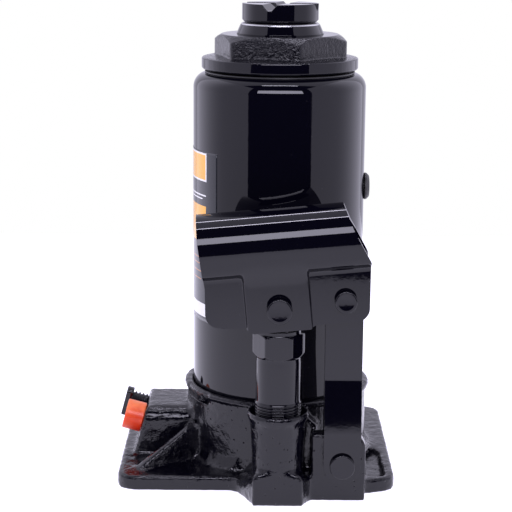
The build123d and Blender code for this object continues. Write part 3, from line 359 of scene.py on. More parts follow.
@dataclass(frozen=True)
class Rubber:
    """Moulded rubber or polyurethane with a matt skin."""

    name: str
    colour: Colour = (0.012, 0.012, 0.013)
    worn: Colour = (0.035, 0.034, 0.034)
    roughness: float = 0.42

    def build(self) -> bpy.types.Material:
        """Makes the material."""
        material, graph, shader = new_material(self.name)
        place = graph.add("ShaderNodeTexCoord").outputs["Object"]
        dirt = place_group(graph, HANDLING, {"Vector": place, "Speck Share": 0.08})
        values = {"Vector": place, "Grain Size": 0.7, "Grain Height": 0.012, "Wave Height": 0.02}
        skin = place_group(graph, SKIN, values)
        graph.plug(shader.inputs["Base Color"], mixed(graph, dirt.outputs["Smears"], self.colour, self.worn))
        rough = graph.math("MULTIPLY", dirt.outputs["Smears"], 0.15)
        graph.plug(shader.inputs["Roughness"], graph.math("ADD", rough, self.roughness, clamp=True))
        raise_normal(graph, shader, skin.outputs["Height"])
        return material


@dataclass(frozen=True)
class CapPlastic:
    """Slightly translucent orange plastic, with painted light: a painted highlight paler towards its upper end,
    and painted shade deeper towards its lower side and its root.
    """

    name: str
    bright: Colour = (0.74, 0.055, 0.0)
    # The second colour is painted shade, the third a painted highlight.
    painted_shade_colour: Colour = (0.52, 0.014, 0.0)
    painted_highlight_colour: Colour = (0.96, 0.22, 0.065)
    foot_z: float = 0.0
    top_z: float = 0.0
    face_x: float = 0.0
    root_x: float = 0.0

    def build(self) -> bpy.types.Material:
        """Makes the material."""
        material, graph, shader = new_material(self.name)
        place = graph.add("ShaderNodeTexCoord").outputs["Object"]
        parts = graph.add("ShaderNodeSeparateXYZ", {0: place})
        cloud = graph.add("ShaderNodeTexNoise", {"Vector": place, "Scale": 170.0})
        wander = graph.math("MULTIPLY", graph.math("SUBTRACT", cloud.outputs["Fac"], 0.5), 0.012)
        height = graph.math("ADD", parts.outputs[2], wander)
        depth = graph.math("ADD", parts.outputs[0], wander)
        middle = 0.5 * (self.foot_z + self.top_z)
        # Painted light: painted shade towards the cap's lower side and its root, a painted highlight towards its
        # top.
        lower = graph.ramp(height, self.top_z, self.foot_z)
        inner = graph.ramp(depth, self.face_x, self.root_x)
        painted_shade_share = graph.math("MULTIPLY", lower, inner, clamp=True)
        colour = mixed(graph, graph.math("MULTIPLY", painted_shade_share, 1.5, clamp=True), self.bright, self.painted_shade_colour)
        colour = mixed(graph, graph.ramp(height, middle, self.top_z), colour, self.painted_highlight_colour)
        graph.plug(shader.inputs["Base Color"], colour)
        skin = place_group(graph, SKIN, {"Vector": place, "Grain Size": 0.9, "Grain Height": 0.006})
        raise_normal(graph, shader, skin.outputs["Height"])
        shader.inputs["Roughness"].default_value = 0.34
        shader.inputs["Subsurface Weight"].default_value = 0.25
        shader.inputs["Subsurface Radius"].default_value = (1.0, 0.35, 0.12)
        shader.inputs["Subsurface Scale"].default_value = 0.002
        return material


@dataclass(frozen=True)
class PrintedFilm:
    """Printed label film: plain blocks of colour on a dark ground, laid out on the label's UV map."""

    name: str
    ground: Colour = (0.014, 0.015, 0.019)
    # colour, left, right, foot and top, with u from the label's far edge to its near edge
    blocks: tuple = (
        ((0.74, 0.74, 0.72), 0.10, 0.905, 0.028, 0.105),
        ((0.74, 0.74, 0.72), 0.50, 0.906, 0.828, 0.992),
        ((0.80, 0.40, 0.045), 0.51, 0.896, 0.838, 0.982),
        ((0.74, 0.74, 0.72), 0.60, 0.90, 0.742, 0.750),
        ((0.74, 0.74, 0.72), 0.66, 0.86, 0.722, 0.729),
        ((0.80, 0.40, 0.045), 0.10, 0.900, 0.47, 0.685),
        ((0.45, 0.17, 0.03), 0.60, 0.88, 0.371, 0.376),
        ((0.45, 0.17, 0.03), 0.60, 0.86, 0.335, 0.340),
        ((0.45, 0.17, 0.03), 0.60, 0.87, 0.290, 0.295),
        ((0.45, 0.17, 0.03), 0.60, 0.84, 0.245, 0.250),
    )

    def build(self) -> bpy.types.Material:
        """Makes the material."""
        material, graph, shader = new_material(self.name)
        coords = graph.add("ShaderNodeTexCoord")
        marks = place_group(graph, HANDLING, {"Vector": coords.outputs["Object"]})
        colour: object = self.ground
        for paint, left, right, foot, top in self.blocks:
            values = {"Vector": coords.outputs["UV"], "Left": left, "Right": right, "Foot": foot, "Top": top}
            mask = place_group(graph, BLOCK, values).outputs["Mask"]
            colour = mixed(graph, mask, colour, paint)
        colour = mixed(graph, graph.math("MULTIPLY", marks.outputs["Specks"], 0.5), colour, (0.5, 0.5, 0.5))
        graph.plug(shader.inputs["Base Color"], colour)
        rough = graph.math("MULTIPLY", marks.outputs["Smears"], 0.06)
        graph.plug(shader.inputs["Roughness"], graph.math("ADD", rough, 0.10))
        skin = place_group(graph, SKIN, {"Vector": coords.outputs["Object"], "Wave Height": 0.004})
        raise_normal(graph, shader, skin.outputs["Height"])
        return material


def cap_finish() -> CapPlastic:
    """The cap's plastic, its painted highlight and painted shade graded over the cap's own box."""
    low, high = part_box("overload_cap")
    return CapPlastic("orange_cap_plastic", foot_z=low.z, top_z=high.z, face_x=low.x, root_x=high.x)


class Finish(Enum):
    """The finishes, each tied to the record's slot of the same name."""

    CASTING = "black_casting"
    ENAMEL = "black_enamel"
    FORGING = "black_nut"
    PIN = "black_pin"
    GROUND = "ground_steel"
    HONED = "honed_steel"
    SPRING = "spring_steel"
    BALL = "ball_steel"
    COPPER = "copper_washer"
    SEAL = "seal_rubber"
    CUP = "seal_polyurethane"
    CAP = "cap_plastic"
    LABEL = "label_film"


FINISH_MATERIALS = {
    Finish.CASTING: Enamel(
        "enamel_on_casting", wave_size=4.2, wave_height=0.32, grain_size=1.5, grain_height=0.19,
        pit_size=3.2, pit_depth=0.48, pit_share=0.17, roughness=0.05, smear=0.10, speck_share=0.05,
    ).build(),
    Finish.ENAMEL: Enamel("enamel_on_sheet").build(),
    Finish.FORGING: Enamel(
        "enamel_on_forging", wave_size=2.4, wave_height=0.20, grain_size=1.15, grain_height=0.30,
        roughness=0.07, smear=0.08,
    ).build(),
    Finish.PIN: Enamel(
        "enamel_on_pin", wave_size=3.5, wave_height=0.012, grain_size=1.2, grain_height=0.010,
        pit_size=5.0, pit_depth=0.08, pit_share=0.10,
    ).build(),
    Finish.GROUND: Steel("ground_steel").build(),
    Finish.HONED: Steel("honed_steel", roughness=0.28, mark_pitch=0.5).build(),
    Finish.SPRING: Steel("spring_steel", colour=(0.40, 0.40, 0.41), roughness=0.30).build(),
    Finish.BALL: Steel("ball_steel", colour=(0.70, 0.70, 0.71), roughness=0.06, streak=0.02).build(),
    Finish.COPPER: Steel("copper", colour=(0.78, 0.42, 0.28), shade=(0.50, 0.24, 0.15)).build(),
    Finish.SEAL: Rubber("seal_rubber").build(),
    Finish.CUP: Rubber("seal_polyurethane", (0.55, 0.32, 0.08), (0.40, 0.22, 0.06), 0.30).build(),
    Finish.CAP: cap_finish().build(),
    Finish.LABEL: PrintedFilm("printed_label_film").build(),
}


# ---------------------------------------------------------------- geometry node trees
def thread_tree() -> bpy.types.NodeTree:
    """Cuts a screw thread into a round body that stands on the Z axis."""
    real = "NodeSocketFloat"
    group, graph, source, sink = new_group(
        "screw_thread",
        "GeometryNodeTree",
        {
            "Geometry": ("NodeSocketGeometry", None),
            "Pitch": (real, 1.5 * MM),
            "Depth": (real, 0.6 * MM),
            "Inner Limit": (real, 0.0),
            "Foot": (real, 0.0),
            "Top": (real, 1.0),
            "Material": ("NodeSocketMaterial", None),
        },
        {"Geometry": "NodeSocketGeometry"},
    )
    parts = graph.add("ShaderNodeSeparateXYZ", {0: graph.add("GeometryNodeInputPosition").outputs[0]})
    x, y, z = parts.outputs
    turn = graph.math("DIVIDE", graph.math("ARCTAN2", y, x), TAU)
    turns_up = graph.math("DIVIDE", z, source.outputs["Pitch"])
    phase = graph.math("FRACT", graph.math("SUBTRACT", turns_up, turn))
    tooth = graph.math("ABSOLUTE", graph.math("SUBTRACT", graph.math("MULTIPLY", phase, 2.0), 1.0))
    groove = graph.ramp(tooth, 0.18, 0.86)
    radius = graph.math("SQRT", graph.math("ADD", graph.math("MULTIPLY", x, x), graph.math("MULTIPLY", y, y)))
    outer = graph.math("GREATER_THAN", radius, source.outputs["Inner Limit"])
    lead = 1.2 * MM
    above = graph.ramp(z, source.outputs["Foot"], graph.math("ADD", source.outputs["Foot"], lead))
    below = graph.ramp(z, source.outputs["Top"], graph.math("SUBTRACT", source.outputs["Top"], lead))
    depth = graph.math("MULTIPLY", groove, source.outputs["Depth"])
    for mask in (outer, above, below):
        depth = graph.math("MULTIPLY", depth, mask)
    inwards = graph.math("DIVIDE", graph.math("MULTIPLY", depth, -1.0), graph.math("MAXIMUM", radius, 1e-6))
    shift = graph.add("ShaderNodeCombineXYZ", {0: graph.math("MULTIPLY", x, inwards)})
    graph.plug(shift.inputs[1], graph.math("MULTIPLY", y, inwards))
    moved = graph.add("GeometryNodeSetPosition", {"Geometry": source.outputs["Geometry"]})
    graph.plug(moved.inputs["Offset"], shift.outputs[0])
    end_tree(graph, source, sink, moved.outputs[0])
    return group


def relief_tree() -> bpy.types.NodeTree:
    """Gives a closed body the uneven relief of a sand casting or a forging."""
    real = "NodeSocketFloat"
    group, graph, source, sink = new_group(
        "casting_relief",
        "GeometryNodeTree",
        {
            "Geometry": ("NodeSocketGeometry", None),
            "Swell Size": (real, 11 * MM),
            "Swell Height": (real, 0.3 * MM),
            "Lump Size": (real, 3 * MM),
            "Lump Height": (real, 0.15 * MM),
            "Sink": (real, 0.1 * MM),
            "Seed": (real, 3.0),
            "Material": ("NodeSocketMaterial", None),
        },
        {"Geometry": "NodeSocketGeometry"},
    )
    total: object = graph.math("MULTIPLY", source.outputs["Sink"], -1.0)
    for size, height, detail in (("Swell Size", "Swell Height", 1.0), ("Lump Size", "Lump Height", 2.0)):
        noise = graph.add("ShaderNodeTexNoise", noise_dimensions="4D")
        graph.plug(noise.inputs["W"], source.outputs["Seed"])
        graph.plug(noise.inputs["Scale"], graph.math("DIVIDE", 1.0, source.outputs[size]))
        noise.inputs["Detail"].default_value = detail
        centred = graph.math("SUBTRACT", noise.outputs[0], 0.5)
        total = graph.math("ADD", total, graph.math("MULTIPLY", centred, source.outputs[height]))
    normal = graph.add("GeometryNodeInputNormal").outputs[0]
    shift = graph.add("ShaderNodeVectorMath", {0: normal}, operation="SCALE")
    graph.plug(shift.inputs["Scale"], total)
    moved = graph.add("GeometryNodeSetPosition", {"Geometry": source.outputs["Geometry"]})
    graph.plug(moved.inputs["Offset"], shift.outputs[0])
    end_tree(graph, source, sink, moved.outputs[0])
    return group


def end_tree(graph: Graph, source: bpy.types.Node, sink: bpy.types.Node, made: bpy.types.NodeSocket) -> None:
    """Ends a geometry tree in Realize Instances and Set Material."""
    real = graph.add("GeometryNodeRealizeInstances", {"Geometry": made})
    dressed = graph.add("GeometryNodeSetMaterial", {"Geometry": real.outputs[0]})
    graph.plug(dressed.inputs["Material"], source.outputs["Material"])
    graph.plug(sink.inputs["Geometry"], dressed.outputs[0])


THREAD = thread_tree()
RELIEF = relief_tree()


# ---------------------------------------------------------------- mesh making
def rounded(corners: Iterable[tuple[float, float, float]], closed: bool = False, steps: int = 5) -> Outline:
    """Rounds the corners of an outline.

    Args:
        corners: x, y and radius of each corner.
        closed: whether the outline closes on itself.
        steps: segments of each round.

    Returns:
        The outline's points, with a holding point on each side of every round.
    """
    corners = list(corners)
    count = len(corners)
    points: Outline = []
    for i, (x, y, radius) in enumerate(corners):
        here = Vector((x, y))
        if radius <= 0 or (not closed and i in (0, count - 1)):
            points.append((x, y))
            continue
        before = Vector(corners[(i - 1) % count][:2]) - here
        after = Vector(corners[(i + 1) % count][:2]) - here
        half = before.angle(after) / 2
        reach = min(radius / math.tan(half), 0.45 * before.length, 0.45 * after.length)
        real_radius = reach * math.tan(half)
        centre = here + (before.normalized() + after.normalized()).normalized() * real_radius / math.sin(half)
        start = here + before.normalized() * reach - centre
        end = here + after.normalized() * reach - centre
        sweep = math.atan2(start.x * end.y - start.y * end.x, start.dot(end))
        hold = min(0.35 * real_radius, 0.04 * before.length, 0.04 * after.length)
        points.append(tuple(here + before.normalized() * (reach + hold)))
        for k in range(steps + 1):
            a = sweep * k / steps
            turned = Vector((start.x * math.cos(a) - start.y * math.sin(a),
                             start.x * math.sin(a) + start.y * math.cos(a)))
            points.append(tuple(centre + turned))
        points.append(tuple(here + after.normalized() * (reach + hold)))
    return points


def make_object(name: str, mesh: bpy.types.Mesh) -> bpy.types.Object:
    """Puts a mesh in the scene under the piece's name."""
    piece = bpy.data.objects.new(name, mesh)
    bpy.context.scene.collection.objects.link(piece)
    return piece


def tidy_mesh(mesh: bpy.types.Mesh, merge: float = 1e-7, smooth: bool = True) -> bpy.types.Mesh:
    """Merges doubles, turns the faces outwards and shades the mesh smooth."""
    work = bmesh.new()
    work.from_mesh(mesh)
    bmesh.ops.remove_doubles(work, verts=work.verts, dist=merge)
    bmesh.ops.dissolve_degenerate(work, edges=work.edges, dist=merge)
    bmesh.ops.recalc_face_normals(work, faces=work.faces)
    for face in work.faces:
        face.smooth = smooth
    work.to_mesh(mesh)
    work.free()
    return mesh


def ring_mesh(name: str, radii: np.ndarray, heights: np.ndarray, closed: bool) -> bpy.types.Mesh:
    """Builds a round body from rings of points.

    Args:
        name: the mesh's name.
        radii: radius of each point, one row for each ring.
        heights: height of each point, same shape.
        closed: whether the last ring joins the first, as on a tube.

    Returns:
        The mesh, round the Z axis.
    """
    rings, count = radii.shape
    angles = np.arange(count) * TAU / count
    co = np.stack([radii * np.cos(angles), radii * np.sin(angles), heights], axis=2).reshape(-1, 3)
    pairs = rings if closed else rings - 1
    faces = []
    for i in range(pairs):
        a, b = i * count, ((i + 1) % rings) * count
        for j in range(count):
            k = (j + 1) % count
            faces.append((a + j, a + k, b + k, b + j))
    mesh = bpy.data.meshes.new(name)
    mesh.from_pydata(co.tolist(), [], faces)
    return tidy_mesh(mesh)


def lathe(name: str, outline: Outline, closed: bool = False, segments: int = 128) -> bpy.types.Mesh:
    """Turns an outline of (radius, height) points round the Z axis."""
    points = np.array(outline, float)
    radii = np.repeat(points[:, :1], segments, axis=1)
    heights = np.repeat(points[:, 1:], segments, axis=1)
    return ring_mesh(name, radii, heights, closed)


def hexagon_radius(angles: np.ndarray, apothem: float, turn: float, sharpness: float = 46.0) -> np.ndarray:
    """Radius of a hexagon with slightly rounded corners; turn is the angle of one corner."""
    total = np.zeros_like(angles)
    for k in range(6):
        facing = np.cos(angles - turn - math.radians(30 + 60 * k))
        total += np.clip(facing, 0, None) ** sharpness
    return apothem / total ** (1 / sharpness)


def soft_min(a: np.ndarray, b: np.ndarray, blend: float) -> np.ndarray:
    """The smaller of two values, with a rounded changeover."""
    h = np.clip(0.5 + 0.5 * (b - a) / blend, 0, 1)
    return b * (1 - h) + a * h - blend * h * (1 - h)


def soft_max(a: np.ndarray, b: np.ndarray, blend: float) -> np.ndarray:
    """The larger of two values, with a rounded changeover."""
    return -soft_min(-a, -b, blend)


def smooth_step(x: np.ndarray | float, low: float, high: float) -> np.ndarray:
    """0 below low, 1 above high, smooth between; high may be the smaller."""
    t = np.clip((np.asarray(x, float) - low) / (high - low), 0, 1)
    return t * t * (3 - 2 * t)


def copy_of(node: str, name: str) -> bpy.types.Object:
    """A welded copy of a CAD node's mesh."""
    mesh = frame["nodes"][node].data.copy()
    mesh.name = name
    mesh.materials.clear()
    if "custom_normal" in mesh.attributes:
        mesh.attributes.remove(mesh.attributes["custom_normal"])
    work = bmesh.new()
    work.from_mesh(mesh)
    bmesh.ops.remove_doubles(work, verts=work.verts, dist=2e-6)
    bmesh.ops.dissolve_limit(work, angle_limit=math.radians(0.6), verts=work.verts, edges=work.edges)
    for face in work.faces:
        face.smooth = True
    work.to_mesh(mesh)
    work.free()
    return make_object(name, mesh)


def run_tree(piece: bpy.types.Object, tree: bpy.types.NodeTree, values: dict) -> None:
    """Adds a Geometry Nodes modifier and sets its inputs by socket identifier."""
    modifier = piece.modifiers.new(tree.name, "NODES")
    modifier.node_group = tree
    names = {s.name: s.identifier for s in tree.interface.items_tree if s.in_out == "INPUT"}
    for key, value in values.items():
        modifier[names[key]] = value


def settle(piece: bpy.types.Object) -> bpy.types.Object:
    """Turns a piece's modifiers into plain mesh."""
    bpy.context.view_layer.update()
    seen = piece.evaluated_get(bpy.context.evaluated_depsgraph_get())
    mesh = bpy.data.meshes.new_from_object(seen)
    piece.modifiers.clear()
    piece.data = mesh
    return piece


def soften(piece: bpy.types.Object, width: float, segments: int = 3, angle: float = 30.0) -> bpy.types.Object:
    """Rounds the sharp edges of a piece."""
    bevel = piece.modifiers.new("soft_edges", "BEVEL")
    bevel.width = width
    bevel.segments = segments
    bevel.limit_method = "ANGLE"
    bevel.angle_limit = math.radians(angle)
    bevel.harden_normals = True
    bevel.use_clamp_overlap = True
    return settle(piece)


def points_of(mesh: bpy.types.Mesh) -> np.ndarray:
    """A mesh's points as an array of x, y and z."""
    co = np.zeros(len(mesh.vertices) * 3)
    mesh.vertices.foreach_get("co", co)
    return co.reshape(-1, 3)


def set_points(mesh: bpy.types.Mesh, co: np.ndarray) -> None:
    """Writes an array of points back to a mesh."""
    mesh.vertices.foreach_set("co", co.ravel())
    mesh.update()


def keep_inside(mesh: bpy.types.Mesh, *nodes: str) -> None:
    """Holds a mesh inside the box of the CAD nodes that it stands for."""
    boxes = [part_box(node) for node in nodes]
    low = np.min([list(b[0]) for b in boxes], axis=0)
    high = np.max([list(b[1]) for b in boxes], axis=0)
    set_points(mesh, np.clip(points_of(mesh), low, high))


def deliver(piece: bpy.types.Object, body: str, finish: Finish, *nodes: str) -> bpy.types.Object:
    """Dresses a finished piece, ties it to its body and reports it.

    Args:
        piece: the piece, its place in its mesh.
        body: the CAD body that it moves with.
        finish: the finish that it wears.
        nodes: the CAD nodes that it stands for.

    Returns:
        The piece.
    """
    piece.data.materials.clear()
    piece.data.materials.append(FINISH_MATERIALS[finish])
    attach(piece, body)
    if nodes:
        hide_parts(*nodes)
    log.info("%s: %d faces, %s on body %s", piece.name, len(piece.data.polygons), finish.value, body)
    return piece


def middle(node: str) -> Vector:
    """Centre of a CAD node's box."""
    low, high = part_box(node)
    return (low + high) / 2


def joint(name: str) -> dict:
    """One joint of the frame, by name."""
    return next(j for j in frame["joints"] if j["name"] == name)


def turned_to(axis: Vector, origin: Vector) -> Matrix:
    """Stands a body made on the Z axis on another axis through an origin."""
    return Matrix.Translation(origin) @ axis.to_track_quat("Z", "Y").to_matrix().to_4x4()


# ---------------------------------------------------------------- pieces
def round_over(across: np.ndarray, up: np.ndarray, radius: float, where: np.ndarray) -> None:
    """Rounds a convex edge by pulling points onto its round, in place.

    Args:
        across: distance of the points from the edge's side face, inwards positive; changed in place.
        up: distance of the points below its top face, inwards positive; changed in place.
        radius: the round's radius.
        where: mask of the points that may move.
    """
    a, b = radius - across, radius - up
    reach = np.hypot(a, b)
    move = where & (a > 0) & (b > 0) & (reach > radius)
    across[move] = radius - a[move] * radius / reach[move]
    up[move] = radius - b[move] * radius / reach[move]


@dataclass
class BaseCasting:
    """The one-piece sand casting: foot plate, collar, valve boss, ribs, pump boss and ear."""

    voxel: float = 0.96 * MM
    softening: int = 5
    finishing: int = 2
    edge_softening: int = 9
    swell: float = 0.34 * MM
    lump: float = 0.50 * MM
    plate_top: float = 7.0 * MM
    boss_front: float = -19.0 * MM
    boss_back: float = 20.0 * MM
    boss_top: float = 31.0 * MM
    boss_round: float = 7.0 * MM
    boss_root: float = -34.0 * MM
    wall_r: float = 45.0 * MM
    lip_foot: float = 39.9 * MM
    lip_out: float = 1.6 * MM
    pump_edge: float = -12.0 * MM
    mouth_r: float = 14.5 * MM
    cove: float = 3.0 * MM
    cove_top: float = 5.5 * MM
    dish_foot: float = 41.8 * MM
    dish_slope: float = 0.8

    def build(self) -> None:
        """Remeshes the CAD casting, works its edges over and gives it its relief."""
        piece = copy_of("base", "casting")
        remesh = piece.modifiers.new("even_mesh", "REMESH")
        remesh.mode = "VOXEL"
        remesh.voxel_size = self.voxel
        remesh.use_smooth_shade = True
        self.soften(piece, self.softening)
        settle(piece)
        co = points_of(piece.data)
        self.round_valve_boss(co)
        self.trim_collar(co)
        self.cut_coves(co)
        self.dish_mouth(co)
        set_points(piece.data, co)
        self.soften(piece, self.finishing)
        edges = piece.vertex_groups.new(name="plate_edges")
        near = (co[:, 2] > 2.5 * MM) & (co[:, 2] < 9 * MM) & (np.hypot(co[:, 0], co[:, 1]) > 48 * MM)
        edges.add([int(i) for i in np.flatnonzero(near)], 1.0, "REPLACE")
        self.soften(piece, self.edge_softening, "plate_edges")
        values = {
            "Swell Size": 12 * MM, "Swell Height": self.swell, "Lump Size": 3.2 * MM,
            "Lump Height": self.lump, "Sink": 0.0, "Material": FINISH_MATERIALS[Finish.CASTING],
        }
        run_tree(piece, RELIEF, values)
        settle(piece)
        keep_inside(piece.data, "base")
        deliver(piece, "base", Finish.CASTING, "base")

    def soften(self, piece: bpy.types.Object, rounds: int, group: str = "") -> None:
        """Adds a smoothing pass over the casting, or over one group of its points."""
        smooth = piece.modifiers.new("soft_edges", "SMOOTH")
        smooth.factor = 0.5
        smooth.iterations = rounds
        smooth.vertex_group = group

    def round_valve_boss(self, co: np.ndarray) -> None:
        """Rounds the valve boss's long upper edges."""
        x, y, z = co[:, 0], co[:, 1], co[:, 2]
        outside = (x < self.boss_root) & (z > self.boss_top / 2)
        share = smooth_step(np.hypot(x, y), self.wall_r + 0.2 * MM, self.wall_r + 3.5 * MM)
        share = np.where(outside, share, 0.0)
        up = self.boss_top - z
        front = y - self.boss_front
        round_over(front, up, self.boss_round, outside & (y < 0))
        back = self.boss_back - y
        round_over(back, up, self.boss_round, outside & (y > 0))
        side = np.where(y > 0, self.boss_back - back, self.boss_front + front)
        co[:, 1] = y + (side - y) * share
        co[:, 2] = z + (self.boss_top - up - z) * share

    def trim_collar(self, co: np.ndarray) -> None:
        """Narrows the rolled lip at the collar's top."""
        x, y, z = co.T
        radius = np.hypot(x, y)
        pump_side = (y < -38 * MM) & (np.abs(x) < self.mouth_r)
        lip = (radius > self.wall_r) & (radius < self.wall_r + 2.2 * MM) & (z > 34 * MM) & ~pump_side
        wanted = self.wall_r + self.lip_out * smooth_step(z, self.lip_foot, self.lip_foot + 0.9 * MM)
        scale = np.where(lip & (radius > wanted), wanted / np.maximum(radius, MM), 1.0)
        co[:, 0] *= scale
        co[:, 1] *= scale

    def cut_coves(self, co: np.ndarray) -> None:
        """Sweeps the ground beside the pump's foot down to the plate in a cove."""
        x, y, z = co.T
        beside = (x < self.pump_edge - 0.2 * MM) & (x > -24 * MM) & (y < -42 * MM) & (z > self.plate_top)
        beside &= z < 14 * MM
        gone = np.exp(-(((self.pump_edge - x) / self.cove) ** 2))
        co[:, 2] = np.where(beside, np.minimum(z, self.plate_top + self.cove_top * gone), z)

    def dish_mouth(self, co: np.ndarray) -> None:
        """Opens the dish at the pump boss's mouth up to its rim."""
        x, y, z = co.T
        radius = np.hypot(x, y - middle("pump_cylinder").y)
        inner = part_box("pump_cylinder")[1].y - middle("pump_cylinder").y
        dish = self.dish_foot + (radius - inner) * self.dish_slope
        inside = (radius < self.mouth_r) & (radius > inner - 0.3 * MM) & (z > 40 * MM)
        co[:, 2] = np.where(inside, np.minimum(z, dish), z)


@dataclass
class OilTank:
    """The drawn steel tank with its round shoulder, and the label on it."""

    wall: float = 3 * MM
    shoulder: float = 9 * MM
    label_skin: float = 0.12 * MM
    label_start: float = math.radians(225.0)
    label_span: float = math.radians(115.4)
    label_foot: float = 76.9 * MM
    label_top: float = 160.7 * MM

    def build(self) -> None:
        """Makes the shell and the label."""
        low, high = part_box("tank")
        radius = high.x
        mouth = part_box("pressure_cylinder")[1].x + 0.2 * MM
        inner = radius - self.wall
        corners = [
            (mouth, high.z, 0.4 * MM), (radius, high.z, self.shoulder), (radius, low.z, 0.3 * MM),
            (inner, low.z, 0.3 * MM), (inner, high.z - self.wall, self.shoulder - self.wall),
            (mouth, high.z - self.wall, 0.4 * MM),
        ]
        mesh = lathe("tank_shell", rounded(corners, closed=True, steps=18), closed=True, segments=256)
        deliver(make_object("tank_shell", mesh), "base", Finish.ENAMEL, "tank")
        self.build_label(radius)

    def build_label(self, radius: float) -> None:
        """Makes the printed label as a thin skin on the tank, with its own UV map."""
        columns, rows = 96, 40
        outside = radius + 0.03 * MM + self.label_skin
        inside = radius + 0.03 * MM
        points, faces, uvs = [], [], []
        for skin in (outside, inside):
            for i in range(columns + 1):
                angle = self.label_start - self.label_span * (1 - i / columns)
                for j in range(rows + 1):
                    z = self.label_foot + (self.label_top - self.label_foot) * j / rows
                    points.append((skin * math.cos(angle), skin * math.sin(angle), z))
                    uvs.append((i / columns, j / rows))
        step, layer = rows + 1, (columns + 1) * (rows + 1)
        for i in range(columns):
            for j in range(rows):
                a = i * step + j
                quad = (a, a + step, a + step + 1, a + 1)
                faces.append(quad)
                faces.append(tuple(layer + k for k in reversed(quad)))
        rim = [i * step for i in range(columns)] + [columns * step + j for j in range(rows)]
        rim += [i * step + rows for i in range(columns, 0, -1)] + [j for j in range(rows, 0, -1)]
        for a, b in zip(rim, rim[1:] + rim[:1]):
            faces.append((a, layer + a, layer + b, b))
        mesh = bpy.data.meshes.new("label_film")
        mesh.from_pydata(points, [], faces)
        layer_uv = mesh.uv_layers.new(name="print")
        for loop in mesh.loops:
            layer_uv.data[loop.index].uv = uvs[loop.vertex_index]
        tidy_mesh(mesh)
        deliver(make_object("label_film", mesh), "base", Finish.LABEL, "label")


@dataclass
class TankNut:
    """The forged nut that closes the tank: a round flange under a hexagon, and the wiper in its top."""

    turn: float = math.radians(-15)
    corner_radius: float = 33.5 * MM
    flange_top: float = 204.5 * MM
    hex_foot: float = 205.4 * MM
    chamfer_drop: float = 5.9 * MM
    seat_gap: float = 1.1 * MM
    segments: int = 504

    def build(self) -> None:
        """Makes the nut and its wiper."""
        low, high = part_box("tank_nut")
        flange = high.x
        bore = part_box("ram_wiper")[1].x
        apothem = self.corner_radius * math.cos(math.radians(30))
        angles = np.arange(self.segments) * TAU / self.segments
        hexagon = hexagon_radius(angles, apothem, self.turn)
        rows: list[tuple[np.ndarray, np.ndarray]] = []

        def add(radius: np.ndarray | float, height: np.ndarray | float) -> None:
            """Adds one ring of points."""
            rows.append((np.broadcast_to(radius, angles.shape), np.broadcast_to(height, angles.shape)))

        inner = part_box("pressure_cylinder")[1].x + 0.05 * MM
        foot = low.z + self.seat_gap
        edge = [
            (inner, low.z, 0), (flange - 4 * MM, low.z, 0), (flange - 4 * MM, foot, 0.1 * MM),
            (flange - 0.5 * MM, foot, 0.3 * MM), (flange, foot + 0.7 * MM, 0.5 * MM),
            (flange, self.flange_top - 0.4 * MM, 0.7 * MM), (flange - 2 * MM, self.flange_top, 0),
        ]
        for r, z in rounded(edge, steps=4):
            add(r, z)
        slope = (self.hex_foot - self.flange_top) / (flange - apothem)
        for t in np.linspace(0.05, 1, 18):
            r = (flange - 2 * MM) * (1 - t) + (hexagon + 0.35 * MM * t) * t
            add(r, self.flange_top + (flange - 2 * MM - r) * slope)
        root = self.flange_top + (flange - 2 * MM - hexagon) * slope
        cone_r = apothem - 0.6 * MM
        cone_slope = (self.corner_radius + 4 * MM - cone_r) / self.chamfer_drop
        for t in np.linspace(0.03, 0.985, 34):
            z = root + 0.25 * MM + (high.z - root - 0.25 * MM) * t
            cone = cone_r + (high.z - z) * cone_slope
            add(soft_min(hexagon, cone, 0.5 * MM), z)
        top_r = np.broadcast_to(cone_r, angles.shape)
        for t in np.linspace(0.02, 1, 16):
            add(top_r * (1 - t) + (bore + 0.3 * MM) * t, high.z)
        add(bore, high.z - 0.3 * MM)
        add(bore, high.z - 3 * MM)
        add(inner, high.z - 3 * MM)
        radii = np.array([r for r, _ in rows])
        heights = np.array([z for _, z in rows])
        piece = make_object("tank_nut_forging", ring_mesh("tank_nut_forging", radii, heights, True))
        values = {
            "Swell Size": 8 * MM, "Swell Height": 0.10 * MM, "Lump Size": 1.3 * MM,
            "Lump Height": 0.14 * MM, "Sink": 0.03 * MM, "Seed": 7.0,
            "Material": FINISH_MATERIALS[Finish.FORGING],
        }
        run_tree(piece, RELIEF, values)
        settle(piece)
        keep_inside(piece.data, "tank_nut")
        deliver(piece, "base", Finish.FORGING, "tank_nut")
        piece.data.materials.append(FINISH_MATERIALS[Finish.ENAMEL])
        for face in piece.data.polygons:
            turned = face.center.z < self.flange_top - 0.2 * MM
            chamfer = face.center.z > high.z - 0.6 * MM
            face.material_index = 1 if turned or chamfer else 0
        self.build_wiper()

    def build_wiper(self) -> None:
        """Makes the tapered wiper ring."""
        low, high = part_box("ram_wiper")
        bore = 19.05 * MM
        corners = [
            (bore, low.z, 0.1 * MM), (high.x, low.z, 0.1 * MM), (high.x, low.z + 2.9 * MM, 0.3 * MM),
            (high.x - 1.75 * MM, high.z, 0.4 * MM), (bore, high.z, 0.1 * MM),
        ]
        mesh = lathe("wiper_ring", rounded(corners, closed=True), closed=True, segments=160)
        deliver(make_object("wiper_ring", mesh), "base", Finish.ENAMEL, "ram_wiper")


